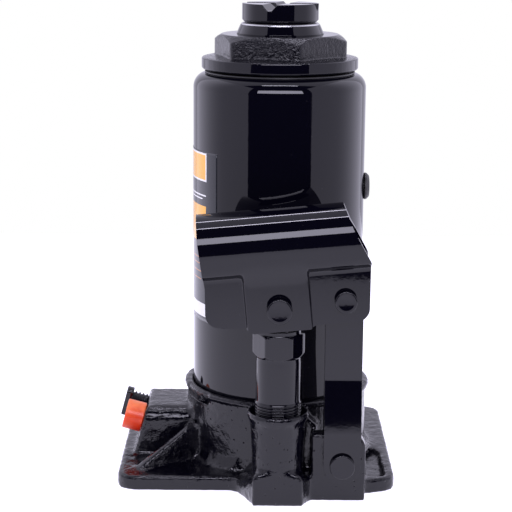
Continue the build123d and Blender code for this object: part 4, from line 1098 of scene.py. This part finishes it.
@dataclass
class RamGroup:
    """The ram, and the extension screw with its grooved saddle."""

    bore: float = 12.05 * MM
    rod: float = 19 * MM
    thread_pitch: float = 3 * MM
    thread_depth: float = 1.1 * MM

    def build(self) -> None:
        """Makes the ram's rod and the saddle screw."""
        low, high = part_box("ram")
        piston_top = low.z + 31.7 * MM
        corners = [
            (6 * MM, low.z, 0.2 * MM), (high.x, low.z, 0.5 * MM), (high.x, piston_top, 0.6 * MM),
            (self.rod, piston_top, 0.4 * MM), (self.rod, high.z, 0.9 * MM), (self.bore, high.z, 0.5 * MM),
            (self.bore, low.z + 62 * MM, 0.3 * MM), (0, low.z + 62 * MM, 0),
            (0, low.z + 20 * MM, 0), (6 * MM, low.z + 20 * MM, 0.2 * MM),
        ]
        mesh = lathe("ram_rod", rounded(corners, closed=True), closed=True, segments=160)
        deliver(make_object("ram_rod", mesh), "ram", Finish.GROUND, "ram")
        self.build_saddle()

    def build_saddle(self) -> None:
        """Makes the threaded shank and the saddle on it as one piece."""
        low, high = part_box("extension_screw")
        saddle_foot = high.z - 9 * MM
        head = copy_of("extension_screw", "saddle_screw")
        work = bmesh.new()
        work.from_mesh(head.data)
        everything = work.verts[:] + work.edges[:] + work.faces[:]
        cut = bmesh.ops.bisect_plane(
            work, geom=everything, plane_co=(0, 0, saddle_foot - 0.6 * MM), plane_no=(0, 0, 1),
            clear_inner=True,
        )
        rim = [e for e in cut["geom_cut"] if isinstance(e, bmesh.types.BMEdge)]
        bmesh.ops.holes_fill(work, edges=rim, sides=0)
        work.to_mesh(head.data)
        work.free()
        soften(head, 0.45 * MM)
        shank_r = 12 * MM
        heights = np.arange(low.z, saddle_foot, 0.25 * MM)
        outline = [(0, low.z), (shank_r - 1.2 * MM, low.z)]
        outline += [(shank_r, z) for z in heights[5:]] + [(shank_r, saddle_foot), (0, saddle_foot)]
        shank = make_object("shank", lathe("shank", outline, segments=96))
        values = {
            "Pitch": self.thread_pitch, "Depth": self.thread_depth, "Inner Limit": 0.8 * shank_r,
            "Foot": low.z + 5 * MM, "Top": saddle_foot - 2 * MM, "Material": FINISH_MATERIALS[Finish.ENAMEL],
        }
        run_tree(shank, THREAD, values)
        settle(shank)
        join_into(head, shank)
        keep_inside(head.data, "extension_screw")
        deliver(head, "extension_screw", Finish.ENAMEL, "extension_screw")


def join_into(piece: bpy.types.Object, *others: bpy.types.Object) -> None:
    """Joins other meshes into a piece's mesh and removes them."""
    work = bmesh.new()
    work.from_mesh(piece.data)
    for other in others:
        work.from_mesh(other.data)
    for face in work.faces:
        face.material_index = 0
    work.to_mesh(piece.data)
    work.free()
    for other in others:
        bpy.data.objects.remove(other)


@dataclass
class HandPump:
    """The pump cylinder with its hexagon and thread."""

    body_r: float = 10.6 * MM
    thread_r: float = 11 * MM
    apothem: float = 10.8 * MM
    bore: float = 6.05 * MM
    thread_top: float = 48.4 * MM
    hex_foot: float = 70.4 * MM
    hex_top: float = 82 * MM
    thread_pitch: float = 1.5 * MM
    segments: int = 192

    def build(self) -> None:
        """Makes the pump cylinder."""
        low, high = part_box("pump_cylinder")
        centre = middle("pump_cylinder")
        angles = np.arange(self.segments) * TAU / self.segments
        hexagon = hexagon_radius(angles, self.apothem, 0.0)
        rows: list[tuple[np.ndarray, np.ndarray]] = []

        def add(radius: np.ndarray | float, z: float) -> None:
            """Adds one ring of points at one height."""
            rows.append((np.broadcast_to(radius, angles.shape), np.full(angles.shape, z)))

        add(self.bore, low.z)
        add(self.thread_r - 1 * MM, low.z)
        add(self.thread_r, low.z + 1 * MM)
        for z in np.arange(low.z + 14 * MM, self.thread_top - 0.2 * MM, 0.11 * MM):
            add(self.thread_r, z)
        for z in np.linspace(self.thread_top, self.thread_top + 0.7 * MM, 4):
            add(self.thread_r - (self.thread_r - self.body_r) * float(smooth_step(z, self.thread_top,
                self.thread_top + 0.7 * MM)), z)
        for z in np.arange(50 * MM, self.hex_foot - 2 * MM, 3 * MM):
            add(self.body_r, z)
        for z in np.arange(self.hex_foot - 1.5 * MM, high.z - 0.6 * MM, 0.16 * MM):
            lower = 10.5 * MM + (z - self.hex_foot)
            upper = 10.8 * MM + (self.hex_top - z) * 1.8
            clipped = soft_min(soft_min(hexagon, lower, 0.35 * MM), upper, 0.35 * MM)
            add(soft_max(clipped, self.body_r, 0.3 * MM) - 0.075 * MM, z)
        for r, z in rounded([
            (self.body_r, high.z - 0.6 * MM, 0), (self.body_r, high.z, 0.5 * MM),
            (self.bore, high.z, 0.5 * MM), (self.bore, high.z - 3 * MM, 0),
        ], steps=4)[1:]:
            add(r, z)
        mesh = ring_mesh("pump_barrel", np.array([r for r, _ in rows]), np.array([z for _, z in rows]), True)
        piece = make_object("pump_barrel", mesh)
        values = {
            "Pitch": self.thread_pitch, "Depth": 0.75 * MM, "Inner Limit": 0.8 * self.thread_r,
            "Foot": low.z + 12 * MM, "Top": self.thread_top + 0.6 * MM,
            "Material": FINISH_MATERIALS[Finish.ENAMEL],
        }
        run_tree(piece, THREAD, values)
        settle(piece)
        piece.data.transform(Matrix.Translation((centre.x, centre.y, 0)))
        keep_inside(piece.data, "pump_cylinder")
        deliver(piece, "base", Finish.ENAMEL, "pump_cylinder")


@dataclass
class HandleSocket:
    """The socket pressed from sheet: a barrel for the handle, and flaps on the link and the plunger."""

    sheet: float = 3 * MM
    barrel_r: float = 15.2 * MM
    rise: float = 28.3 * MM
    left: float = -66.2 * MM
    right: float = 12.8 * MM
    side_half: float = 10.9 * MM
    mid_half: float = 12.2 * MM
    split_left: float = -46 * MM
    split_right: float = -16.2 * MM
    corner_left: float = 7 * MM
    corner_right: float = 5.5 * MM
    edge_round: float = 0.8 * MM
    lean: float = 0.06
    lean_top: float = 26.5 * MM

    def flap_half(self, s: np.ndarray) -> np.ndarray:
        """Half width across the flaps, along the barrel."""
        into = smooth_step(s, self.split_left - 0.7 * MM, self.split_left + 0.7 * MM)
        out = smooth_step(s, self.split_right - 0.5 * MM, self.split_right + 0.5 * MM)
        return self.side_half + (self.mid_half - self.side_half) * (into - out)

    def foot(self, s: np.ndarray) -> np.ndarray:
        """Height of the flaps' lower edge."""
        stations = np.array([-66.2, -50, -46.8, -43.2, -17.0, -14.6, 12.8]) * MM
        heights = np.array([-8.0, -8.9, -9.2, -11.8, -11.8, -10.3, -10.3]) * MM
        return np.interp(s, stations, heights)

    def step_foot(self, s: np.ndarray) -> np.ndarray:
        """Height where the flap starts to widen to the barrel."""
        mid = smooth_step(s, self.split_left - 2 * MM, self.split_left + 3 * MM)
        mid = mid * (1 - smooth_step(s, self.split_right - 2 * MM, self.split_right + 1 * MM))
        return (14.2 - 4.2 * mid) * MM

    def step_top(self, s: np.ndarray) -> np.ndarray:
        """Height where the flap has reached the barrel's width."""
        mid = smooth_step(s, self.split_left - 2 * MM, self.split_left + 3 * MM)
        mid = mid * (1 - smooth_step(s, self.split_right - 2 * MM, self.split_right + 1 * MM))
        return (17.6 + 2.4 * mid) * MM

    def edge_shift(self, s: np.ndarray, v: np.ndarray, foot: np.ndarray) -> np.ndarray:
        """Moves the points near either end to the blank's real outline."""
        above = np.clip(v - foot, 0, None)
        right = np.interp(v, np.array([-10.3, 17.3, 33.5, 44]) * MM, np.array([-2.7, 0, -7.0, -10.3]) * MM)
        left = np.interp(v, np.array([-6, 11, 17, 34]) * MM, np.array([1.2, 2.5, 2.0, 1.2]) * MM)
        for radius, sign in ((self.corner_right, -1), (self.corner_left, 1)):
            inside = np.clip(radius - above, 0, radius)
            pull = radius - np.sqrt(radius**2 - inside**2)
            if sign < 0:
                right = right - pull
            else:
                left = left + pull
        near_right = smooth_step(s, self.right - 16 * MM, self.right)
        near_left = smooth_step(s, self.left + 12 * MM, self.left)
        linear_right = np.clip((s - self.right + 16 * MM) / (16 * MM), 0, 1)
        linear_left = np.clip((self.left + 12 * MM - s) / (12 * MM), 0, 1)
        return right * (0.5 * near_right + 0.5 * linear_right) + left * (0.5 * near_left + 0.5 * linear_left)

    def section(self, s: np.ndarray) -> tuple[np.ndarray, np.ndarray, np.ndarray]:
        """Half the section at each station: half width outside and inside, and height, from foot to top."""
        widths, inner, heights = [], [], []
        foot, low, high = self.foot(s), self.step_foot(s), self.step_top(s)
        half = self.flap_half(s)
        for t in 1 - np.cos(np.linspace(0, 0.5 * math.pi, 22)):
            heights.append(foot + (low - foot) * (1 - math.cos(0.5 * math.pi * math.sqrt(t)) if t < 1 else 1))
        for t in np.linspace(0, 1, 17)[1:]:
            heights.append(low + (high - low) * t)
        for t in np.linspace(0, 1, 7)[1:]:
            heights.append(high + (self.rise - high) * t)
        for v in heights:
            flank = self.barrel_r - self.lean * np.clip(self.lean_top - v, 0, None)
            grown = half + (flank - half) * smooth_step((v - low) / (high - low), 0, 1)
            widths.append(grown)
            inner.append(grown - self.sheet)
        for a in np.linspace(0, 0.5 * math.pi, 25)[1:]:
            heights.append(np.full_like(s, self.rise + self.barrel_r * math.sin(a)))
            widths.append(np.full_like(s, self.barrel_r * math.cos(a)))
            inner.append(np.full_like(s, (self.barrel_r - self.sheet) * math.cos(a)))
        return np.array(widths), np.array(inner), np.array(heights)

    def build(self) -> None:
        """Makes the pressed sheet and places it on its hinge."""
        clusters = [self.split_left, self.split_right]
        stations = set(np.round(np.linspace(self.left, self.right, 80), 6))
        for c in clusters:
            stations |= set(np.round(np.linspace(c - 1.2 * MM, c + 1.2 * MM, 17), 6))
        s = np.array(sorted(stations))
        widths, inner, heights = self.section(s)
        foot = self.foot(s)
        arc = heights > self.rise
        rise_in = self.rise + (heights - self.rise) * (self.barrel_r - self.sheet) / self.barrel_r
        inner_heights = np.where(arc, rise_in, heights)
        shells = []
        for wide, tall in ((widths, heights), (inner, inner_heights)):
            along = s[None, :] + self.edge_shift(np.broadcast_to(s, heights.shape), heights, foot)
            front = np.stack([along, -wide, tall], axis=2)
            back = np.stack([along, wide, tall], axis=2)[::-1][1:]
            shells.append(np.concatenate([front, back]))
        outer, inside = shells
        total_rows, columns = outer.shape[:2]
        points = np.concatenate([outer.reshape(-1, 3), inside.reshape(-1, 3)])
        layer = total_rows * columns
        faces = []
        for i in range(total_rows - 1):
            for j in range(columns - 1):
                a = i * columns + j
                quad = (a, a + 1, a + columns + 1, a + columns)
                faces.append(quad)
                faces.append(tuple(layer + k for k in reversed(quad)))
        rim = [j for j in range(columns)] + [i * columns + columns - 1 for i in range(1, total_rows)]
        rim += [(total_rows - 1) * columns + j for j in range(columns - 2, -1, -1)]
        rim += [i * columns for i in range(total_rows - 2, 0, -1)]
        for a, b in zip(rim, rim[1:] + rim[:1]):
            faces.append((a, b, layer + b, layer + a))
        mesh = bpy.data.meshes.new("pressed_socket")
        mesh.from_pydata(points.tolist(), [], faces)
        tidy_mesh(mesh)
        piece = make_object("pressed_socket", mesh)
        soften(piece, self.edge_round, segments=3, angle=55)
        piece.data.transform(self.placement())
        keep_inside(piece.data, "handle_socket")
        deliver(piece, "handle_socket", Finish.ENAMEL, "handle_socket")

    def placement(self) -> Matrix:
        """From barrel coordinates (along, +Y, up) to the frame."""
        axis = next(m for m in frame["record"]["mounts"] if m["name"] == "handle_barrel")["axis"]
        along = -Vector(axis)
        up = along.cross(Vector((0, 1, 0)))
        turn = Matrix((along, Vector((0, 1, 0)), up)).transposed().to_4x4()
        return Matrix.Translation(Vector(joint("socket_swing")["pos_m"])) @ turn


@dataclass
class LinkPlates:
    """The two link plates between the ear and the socket."""

    edge_round: float = 0.45 * MM
    joggle: float = 3.3 * MM
    joggle_foot: float = 34 * MM
    joggle_top: float = 60 * MM

    def build(self) -> None:
        """Makes both plates."""
        self.build_plate("link_front_plate", -1)
        self.build_plate("link_rear_plate", 1)

    def build_plate(self, node: str, outwards: int) -> None:
        """Makes one plate as a closed strip with round ends.

        Args:
            node: the CAD node that it stands for.
            outwards: -1 for the front plate, 1 for the rear one.
        """
        low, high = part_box(node)
        radius = (high.x - low.x) / 2
        centre = (low.x + high.x) / 2
        foot, top = low.z + radius, high.z - radius
        thick = high.y - low.y - self.joggle
        across = np.sin(np.linspace(-0.5 * math.pi, 0.5 * math.pi, 25)) * radius
        rows = [foot] + list(np.linspace(self.joggle_foot - 3 * MM, self.joggle_top + 3 * MM, 34)) + [top]
        face_y = low.y if outwards < 0 else high.y
        points, faces = [], []
        lines = len(rows) + 2
        for depth in (0.0, thick):
            for x in across:
                bulge = math.sqrt(max(radius**2 - x**2, 0))
                for z in [foot - bulge, *rows, top + bulge]:
                    rise = (z - self.joggle_foot) / (self.joggle_top - self.joggle_foot)
                    back = self.joggle * min(max(rise, 0.0), 1.0)
                    points.append((centre + x, face_y - outwards * (depth + back), z))
        columns = len(across)
        layer = columns * lines
        for i in range(columns - 1):
            for j in range(lines - 1):
                a = i * lines + j
                quad = (a, a + lines, a + lines + 1, a + 1)
                faces.append(quad)
                faces.append(tuple(layer + k for k in reversed(quad)))
        rim = [i * lines for i in range(columns)] + [(columns - 1) * lines + j for j in range(1, lines)]
        rim += [i * lines + lines - 1 for i in range(columns - 2, -1, -1)]
        rim += list(range(lines - 2, 0, -1))
        for a, b in zip(rim, rim[1:] + rim[:1]):
            faces.append((a, b, layer + b, layer + a))
        name = node + "_strip"
        mesh = bpy.data.meshes.new(name)
        mesh.from_pydata(points, [], faces)
        tidy_mesh(mesh, merge=1e-6)
        piece = make_object(name, mesh)
        soften(piece, self.edge_round, angle=50)
        keep_inside(piece.data, node)
        deliver(piece, "link", Finish.ENAMEL, node)


@dataclass
class HeadedPins:
    """The three pins of the linkage: plain shanks with chamfered heads towards -Y."""

    head_round: float = 0.7 * MM
    dish: float = 0.25 * MM

    def build(self) -> None:
        """Makes the three pins."""
        self.build_pin("plunger_pin", "handle_socket", 4.5 * MM, 5.5 * MM)
        self.build_pin("link_upper_pin", "link", 4.2 * MM, 3.8 * MM)
        self.build_pin("link_lower_pin", "base", 5.0 * MM, 2.2 * MM)

    def build_pin(self, node: str, body: str, shank: float, head_length: float) -> None:
        """Makes one pin.

        Args:
            node: the CAD node that it stands for.
            body: the body that it moves with.
            shank: radius of its shank.
            head_length: how far its head stands out.
        """
        low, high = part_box(node)
        head = (high.x - low.x) / 2
        length = high.y - low.y
        corners = [
            (0, length, 0), (shank, length, 0.4 * MM), (shank, head_length, 0.15 * MM),
            (head, head_length, 0.3 * MM), (head, 0, self.head_round), (head - 1.5 * MM, 0.02 * MM, 0.3 * MM),
            (0, self.dish, 0),
        ]
        mesh = lathe(node + "_turned", rounded(corners), segments=96)
        centre = middle(node)
        mesh.transform(turned_to(Vector((0, 1, 0)), Vector((centre.x, low.y, centre.z))))
        deliver(make_object(node + "_turned", mesh), body, Finish.PIN, node)


@dataclass
class Valves:
    """The release valve with its bar head, and the cap on the overload valve."""

    neck: float = 8 * MM
    buried: float = 26 * MM
    shank: float = 6 * MM
    head_thick: float = 3.6 * MM
    head_half: float = 7.6 * MM
    bar_half: float = 4 * MM
    cap_r: float = 7.4 * MM
    cap_length: float = 9.5 * MM
    cap_bore: float = 3.6 * MM
    thread_pitch: float = 1.9 * MM

    def build(self) -> None:
        """Makes the release valve and the cap."""
        turn = joint("release_turn")
        outwards = Vector(turn["axis"])
        face = Vector(turn["pos_m"])
        self.build_release(turned_to(outwards, face))
        cap_y = middle("overload_cap").y
        self.build_cap(turned_to(outwards, Vector((face.x, cap_y, face.z))))

    def build_release(self, place: Matrix) -> None:
        """Makes the valve's threaded shank and bar head in one piece."""
        rings = np.arange(-self.buried + 7 * MM, self.neck, 0.14 * MM)
        nose = -self.buried - 4.85 * MM
        outline = [(0, nose), (2.9 * MM, nose), (3 * MM, -self.buried)]
        outline += [(4.8 * MM, -self.buried), (4.8 * MM, -self.buried + 7 * MM)]
        end = self.neck + 0.5 * MM
        outline += [(self.shank, z) for z in rings] + [(self.shank, end), (0, end)]
        piece = make_object("release_screw", lathe("release_screw", outline, segments=96))
        values = {
            "Pitch": self.thread_pitch, "Depth": 0.8 * MM, "Inner Limit": 0.85 * self.shank,
            "Foot": -self.buried + 8 * MM, "Top": self.neck + 0.8 * MM,
            "Material": FINISH_MATERIALS[Finish.PIN],
        }
        run_tree(piece, THREAD, values)
        settle(piece)
        count = 96
        angles = np.arange(count) * TAU / count
        side = self.bar_half / np.clip(np.abs(np.sin(angles)), 1e-3, None)
        bar = soft_min(np.full(count, self.head_half), side, 0.8 * MM)
        rows = []
        for share, z in rounded([
            (0, self.neck, 0), (1, self.neck, 0.0), (1, self.neck + self.head_thick, 0.0),
            (0, self.neck + self.head_thick, 0),
        ]):
            rows.append((bar * share, np.full(count, z)))
        radii = np.array([r for r, _ in rows])
        heights = np.array([z for _, z in rows])
        head_mesh = ring_mesh("bar_head", radii, heights, False)
        head = make_object("bar_head", head_mesh)
        soften(head, 0.5 * MM, angle=40)
        join_into(piece, head)
        piece.data.transform(place @ Matrix.Rotation(math.radians(90), 4, "Z"))
        keep_inside(piece.data, "release_valve")
        deliver(piece, "release_valve", Finish.PIN, "release_valve")

    def build_cap(self, place: Matrix) -> None:
        """Makes the moulded cap: a collar on a short spigot."""
        corners = [
            (self.cap_bore, -2.9 * MM, 0.2 * MM), (4.9 * MM, -2.9 * MM, 0.2 * MM),
            (4.9 * MM, 0.1 * MM, 0.1 * MM),
            (self.cap_r, 0.1 * MM, 0.35 * MM), (self.cap_r, self.cap_length, 0.7 * MM),
            (self.cap_bore, self.cap_length, 0.4 * MM),
        ]
        mesh = lathe("moulded_cap", rounded(corners, closed=True), closed=True, segments=128)
        mesh.transform(place)
        piece = make_object("moulded_cap", mesh)
        keep_inside(piece.data, "overload_cap")
        deliver(piece, "base", Finish.CAP, "overload_cap")


@dataclass
class FillerPlug:
    """The rubber plug in the tank's filler hole."""

    def build(self) -> None:
        """Makes the plug."""
        low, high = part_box("filler_plug")
        wide = (high.z - low.z) / 2
        seat = high.x - 2.7 * MM
        corners = [
            (0, low.x, 0), (3.6 * MM, low.x, 0.8 * MM), (4.45 * MM, seat - 3.1 * MM, 0.4 * MM),
            (4.45 * MM, seat, 0.2 * MM), (wide, seat, 0.5 * MM), (wide - 0.2 * MM, seat + 1.2 * MM, 0.5 * MM),
            (5.2 * MM, high.x - 0.2 * MM, 1.2 * MM), (2.2 * MM, high.x, 0.4 * MM),
            (1.6 * MM, high.x - 0.6 * MM, 0.3 * MM),
            (0, high.x - 0.6 * MM, 0),
        ]
        mesh = lathe("filler_bung", rounded(corners), segments=96)
        centre = middle("filler_plug")
        mesh.transform(turned_to(Vector((1, 0, 0)), Vector((0, centre.y, centre.z))))
        piece = make_object("filler_bung", mesh)
        keep_inside(piece.data, "filler_plug")
        deliver(piece, "base", Finish.SEAL, "filler_plug")


def dress_frame_nodes() -> None:
    """Gives every CAD node that stays its finish."""
    slots = {p["node"]: p["material_slot"] for p in frame["record"]["subparts"]}
    for node, item in frame["nodes"].items():
        if item.hide_render:
            continue
        finish = Finish(slots[node])
        item.data.materials.clear()
        item.data.materials.append(FINISH_MATERIALS[finish])
        log.info("%s: carried over in %s", node, finish.value)


# ---------------------------------------------------------------- stage
@dataclass
class Studio:
    """A white light tent with an open front: floor, walls, a lit roof panel and a camera."""

    half_width: float = 0.46
    front: float = -0.53
    back: float = 0.55
    height: float = 0.80
    tint: Colour = (1.0, 0.97, 1.18)
    wall_light: float = 0.95
    back_light: float = 1.5
    back_wall_light: float = 0.85
    roof_light: float = 0.85
    bar_light: float = 24.0
    flap_light: float = 7.0
    room_light: float = 0.02
    floor_light: float = 0.95
    roof_front: float = -0.20
    bar_places: tuple[float, float] = (-0.212, 0.163)
    bar_half_length: float = 0.19
    bar_half_width: float = 0.012
    bar_drop: float = 0.01
    flap_half: float = 0.30
    flap_foot: float = 0.285
    flap_top: float = 0.51
    floor_shade: float = 0.50

    def build(self) -> None:
        """Makes the tent, the world and the camera."""
        self.build_floor()
        side = self.graded_light("side_wall_light", self.wall_light, self.back_light)
        plain_back = self.flat_light("back_wall_light", self.back_wall_light)
        roof = self.flat_light("roof_light", self.roof_light)
        bar = self.flat_light("light_bar", self.bar_light)
        flap = self.flat_light("front_flap_light", self.flap_light)
        w, f, b, h = self.half_width, self.front, self.back, self.height
        self.panel("wall_left", [(-w, f, 0), (-w, b, 0), (-w, b, h), (-w, f, h)], side)
        self.panel("wall_right", [(w, b, 0), (w, f, 0), (w, f, h), (w, b, h)], side)
        self.panel("wall_back", [(-w, b, 0), (w, b, 0), (w, b, h), (-w, b, h)], plain_back)
        r = self.roof_front
        self.panel("roof_panel", [(-w, r, h), (w, r, h), (w, b, h), (-w, b, h)], roof)
        half, wide, hung = self.bar_half_length, self.bar_half_width, h - self.bar_drop
        for label, y in zip(("bar_front", "bar_back"), self.bar_places):
            corners = [(-half, y - wide, hung), (half, y - wide, hung),
                       (half, y + wide, hung), (-half, y + wide, hung)]
            self.panel(label, corners, bar)
        s, foot, top = self.flap_half, self.flap_foot, self.flap_top
        self.panel("front_flap", [(-s, f, foot), (s, f, foot), (s, f, top), (-s, f, top)], flap)
        self.build_world()
        self.build_camera()

    def flat_light(self, name: str, strength: float) -> bpy.types.Material:
        """An evenly lit diffuser."""
        material = bpy.data.materials.new(name)
        material.use_nodes = True
        graph = Graph(material.node_tree)
        material.node_tree.nodes.clear()
        glow = graph.add("ShaderNodeEmission", {"Color": (*self.tint, 1.0), "Strength": strength})
        end = graph.add("ShaderNodeOutputMaterial")
        graph.plug(end.inputs["Surface"], glow.outputs[0])
        return material

    def graded_light(self, name: str, front: float, back: float) -> bpy.types.Material:
        """A diffuser that is brighter towards the back of the tent."""
        material = self.flat_light(name, front)
        graph = Graph(material.node_tree)
        glow = next(n for n in material.node_tree.nodes if n.type == "EMISSION")
        place = graph.add("ShaderNodeTexCoord").outputs["Object"]
        parts = graph.add("ShaderNodeSeparateXYZ", {0: place})
        share = graph.ramp(parts.outputs[1], -0.12, 0.25)
        gain = graph.math("ADD", graph.math("MULTIPLY", share, back - front), front)
        graph.plug(glow.inputs["Strength"], gain)
        return material

    def panel(self, name: str, corners: list, material: bpy.types.Material) -> bpy.types.Object:
        """A flat panel of the tent, which the camera looks through."""
        mesh = bpy.data.meshes.new(name)
        mesh.from_pydata(corners, [], [(0, 1, 2, 3)])
        mesh.materials.append(material)
        item = make_object(name, mesh)
        item.visible_camera = False
        item.visible_shadow = False
        return item

    def build_floor(self) -> None:
        """The tent's pale floor."""
        material, graph, shader = new_material("floor_paper")
        place = graph.add("ShaderNodeTexCoord").outputs["Object"]
        cloud = graph.add("ShaderNodeTexNoise", {"Vector": place, "Scale": 6.0})
        shade = self.floor_shade
        tint = mixed(graph, cloud.outputs["Fac"], (shade, shade, shade), (shade - 0.01,) * 3)
        graph.plug(shader.inputs["Base Color"], tint)
        shader.inputs["Roughness"].default_value = 0.9
        shader.inputs["Specular IOR Level"].default_value = 0.1
        shader.inputs["Emission Color"].default_value = (*self.tint, 1.0)
        shader.inputs["Emission Strength"].default_value = self.floor_light
        w, f, b = self.half_width, self.front, self.back
        mesh = bpy.data.meshes.new("floor")
        mesh.from_pydata([(-w, f, 0), (w, f, 0), (w, b, 0), (-w, b, 0)], [], [(0, 1, 2, 3)])
        mesh.materials.append(material)
        item = make_object("floor", mesh)
        mesh.transform(Matrix.Translation((0, 0, -0.02 * MM)))

    def build_world(self) -> None:
        """White behind the object, a dim room for everything that it reflects outside the tent."""
        world = bpy.data.worlds.new("studio")
        bpy.context.scene.world = world
        world.use_nodes = True
        graph = Graph(world.node_tree)
        world.node_tree.nodes.clear()
        seen = graph.add("ShaderNodeLightPath").outputs["Is Camera Ray"]
        white = graph.add("ShaderNodeBackground", {"Color": (1.0, 1.0, 1.0, 1.0), "Strength": 1.0})
        dim = graph.add("ShaderNodeBackground", {"Color": (0.9, 0.95, 1.0, 1.0), "Strength": self.room_light})
        choice = graph.add("ShaderNodeMixShader", {0: seen, 1: dim.outputs[0], 2: white.outputs[0]})
        end = graph.add("ShaderNodeOutputWorld")
        graph.plug(end.inputs["Surface"], choice.outputs[0])

    def build_camera(self) -> None:
        """The camera in front of the pump, a little above the saddle and looking down."""
        data = bpy.data.cameras.new("camera")
        data.lens = 105.5
        data.sensor_width = 36
        data.clip_start = 0.01
        camera = make_camera(data)
        camera.location = (-0.0109, -0.7317, 0.2686)
        down, roll = math.radians(12.6), math.radians(-0.43)
        camera.matrix_world = (
            Matrix.Translation(camera.location)
            @ Matrix.Rotation(math.radians(90) - down, 4, "X")
            @ Matrix.Rotation(-roll, 4, "Z")
        )
        bpy.context.scene.camera = camera
        bpy.context.scene.view_settings.view_transform = "Standard"


def make_camera(data: bpy.types.Camera) -> bpy.types.Object:
    """Puts a camera in the scene."""
    camera = bpy.data.objects.new("camera", data)
    bpy.context.scene.collection.objects.link(camera)
    return camera


def write_sizes() -> None:
    """Updates the view layer after the build."""
    bpy.context.view_layer.update()


def main() -> None:
    """Builds the pieces in the order of assembly, then the stage."""
    logging.basicConfig(level=logging.INFO, format="%(message)s")
    makers = (BaseCasting(), OilTank(), TankNut(), RamGroup(), HandPump(), LinkPlates(), HandleSocket(),
              HeadedPins(), Valves(), FillerPlug())
    for maker in makers:
        maker.build()
    dress_frame_nodes()
    Studio().build()
    write_sizes()


if __name__ == "__main__":
    main()
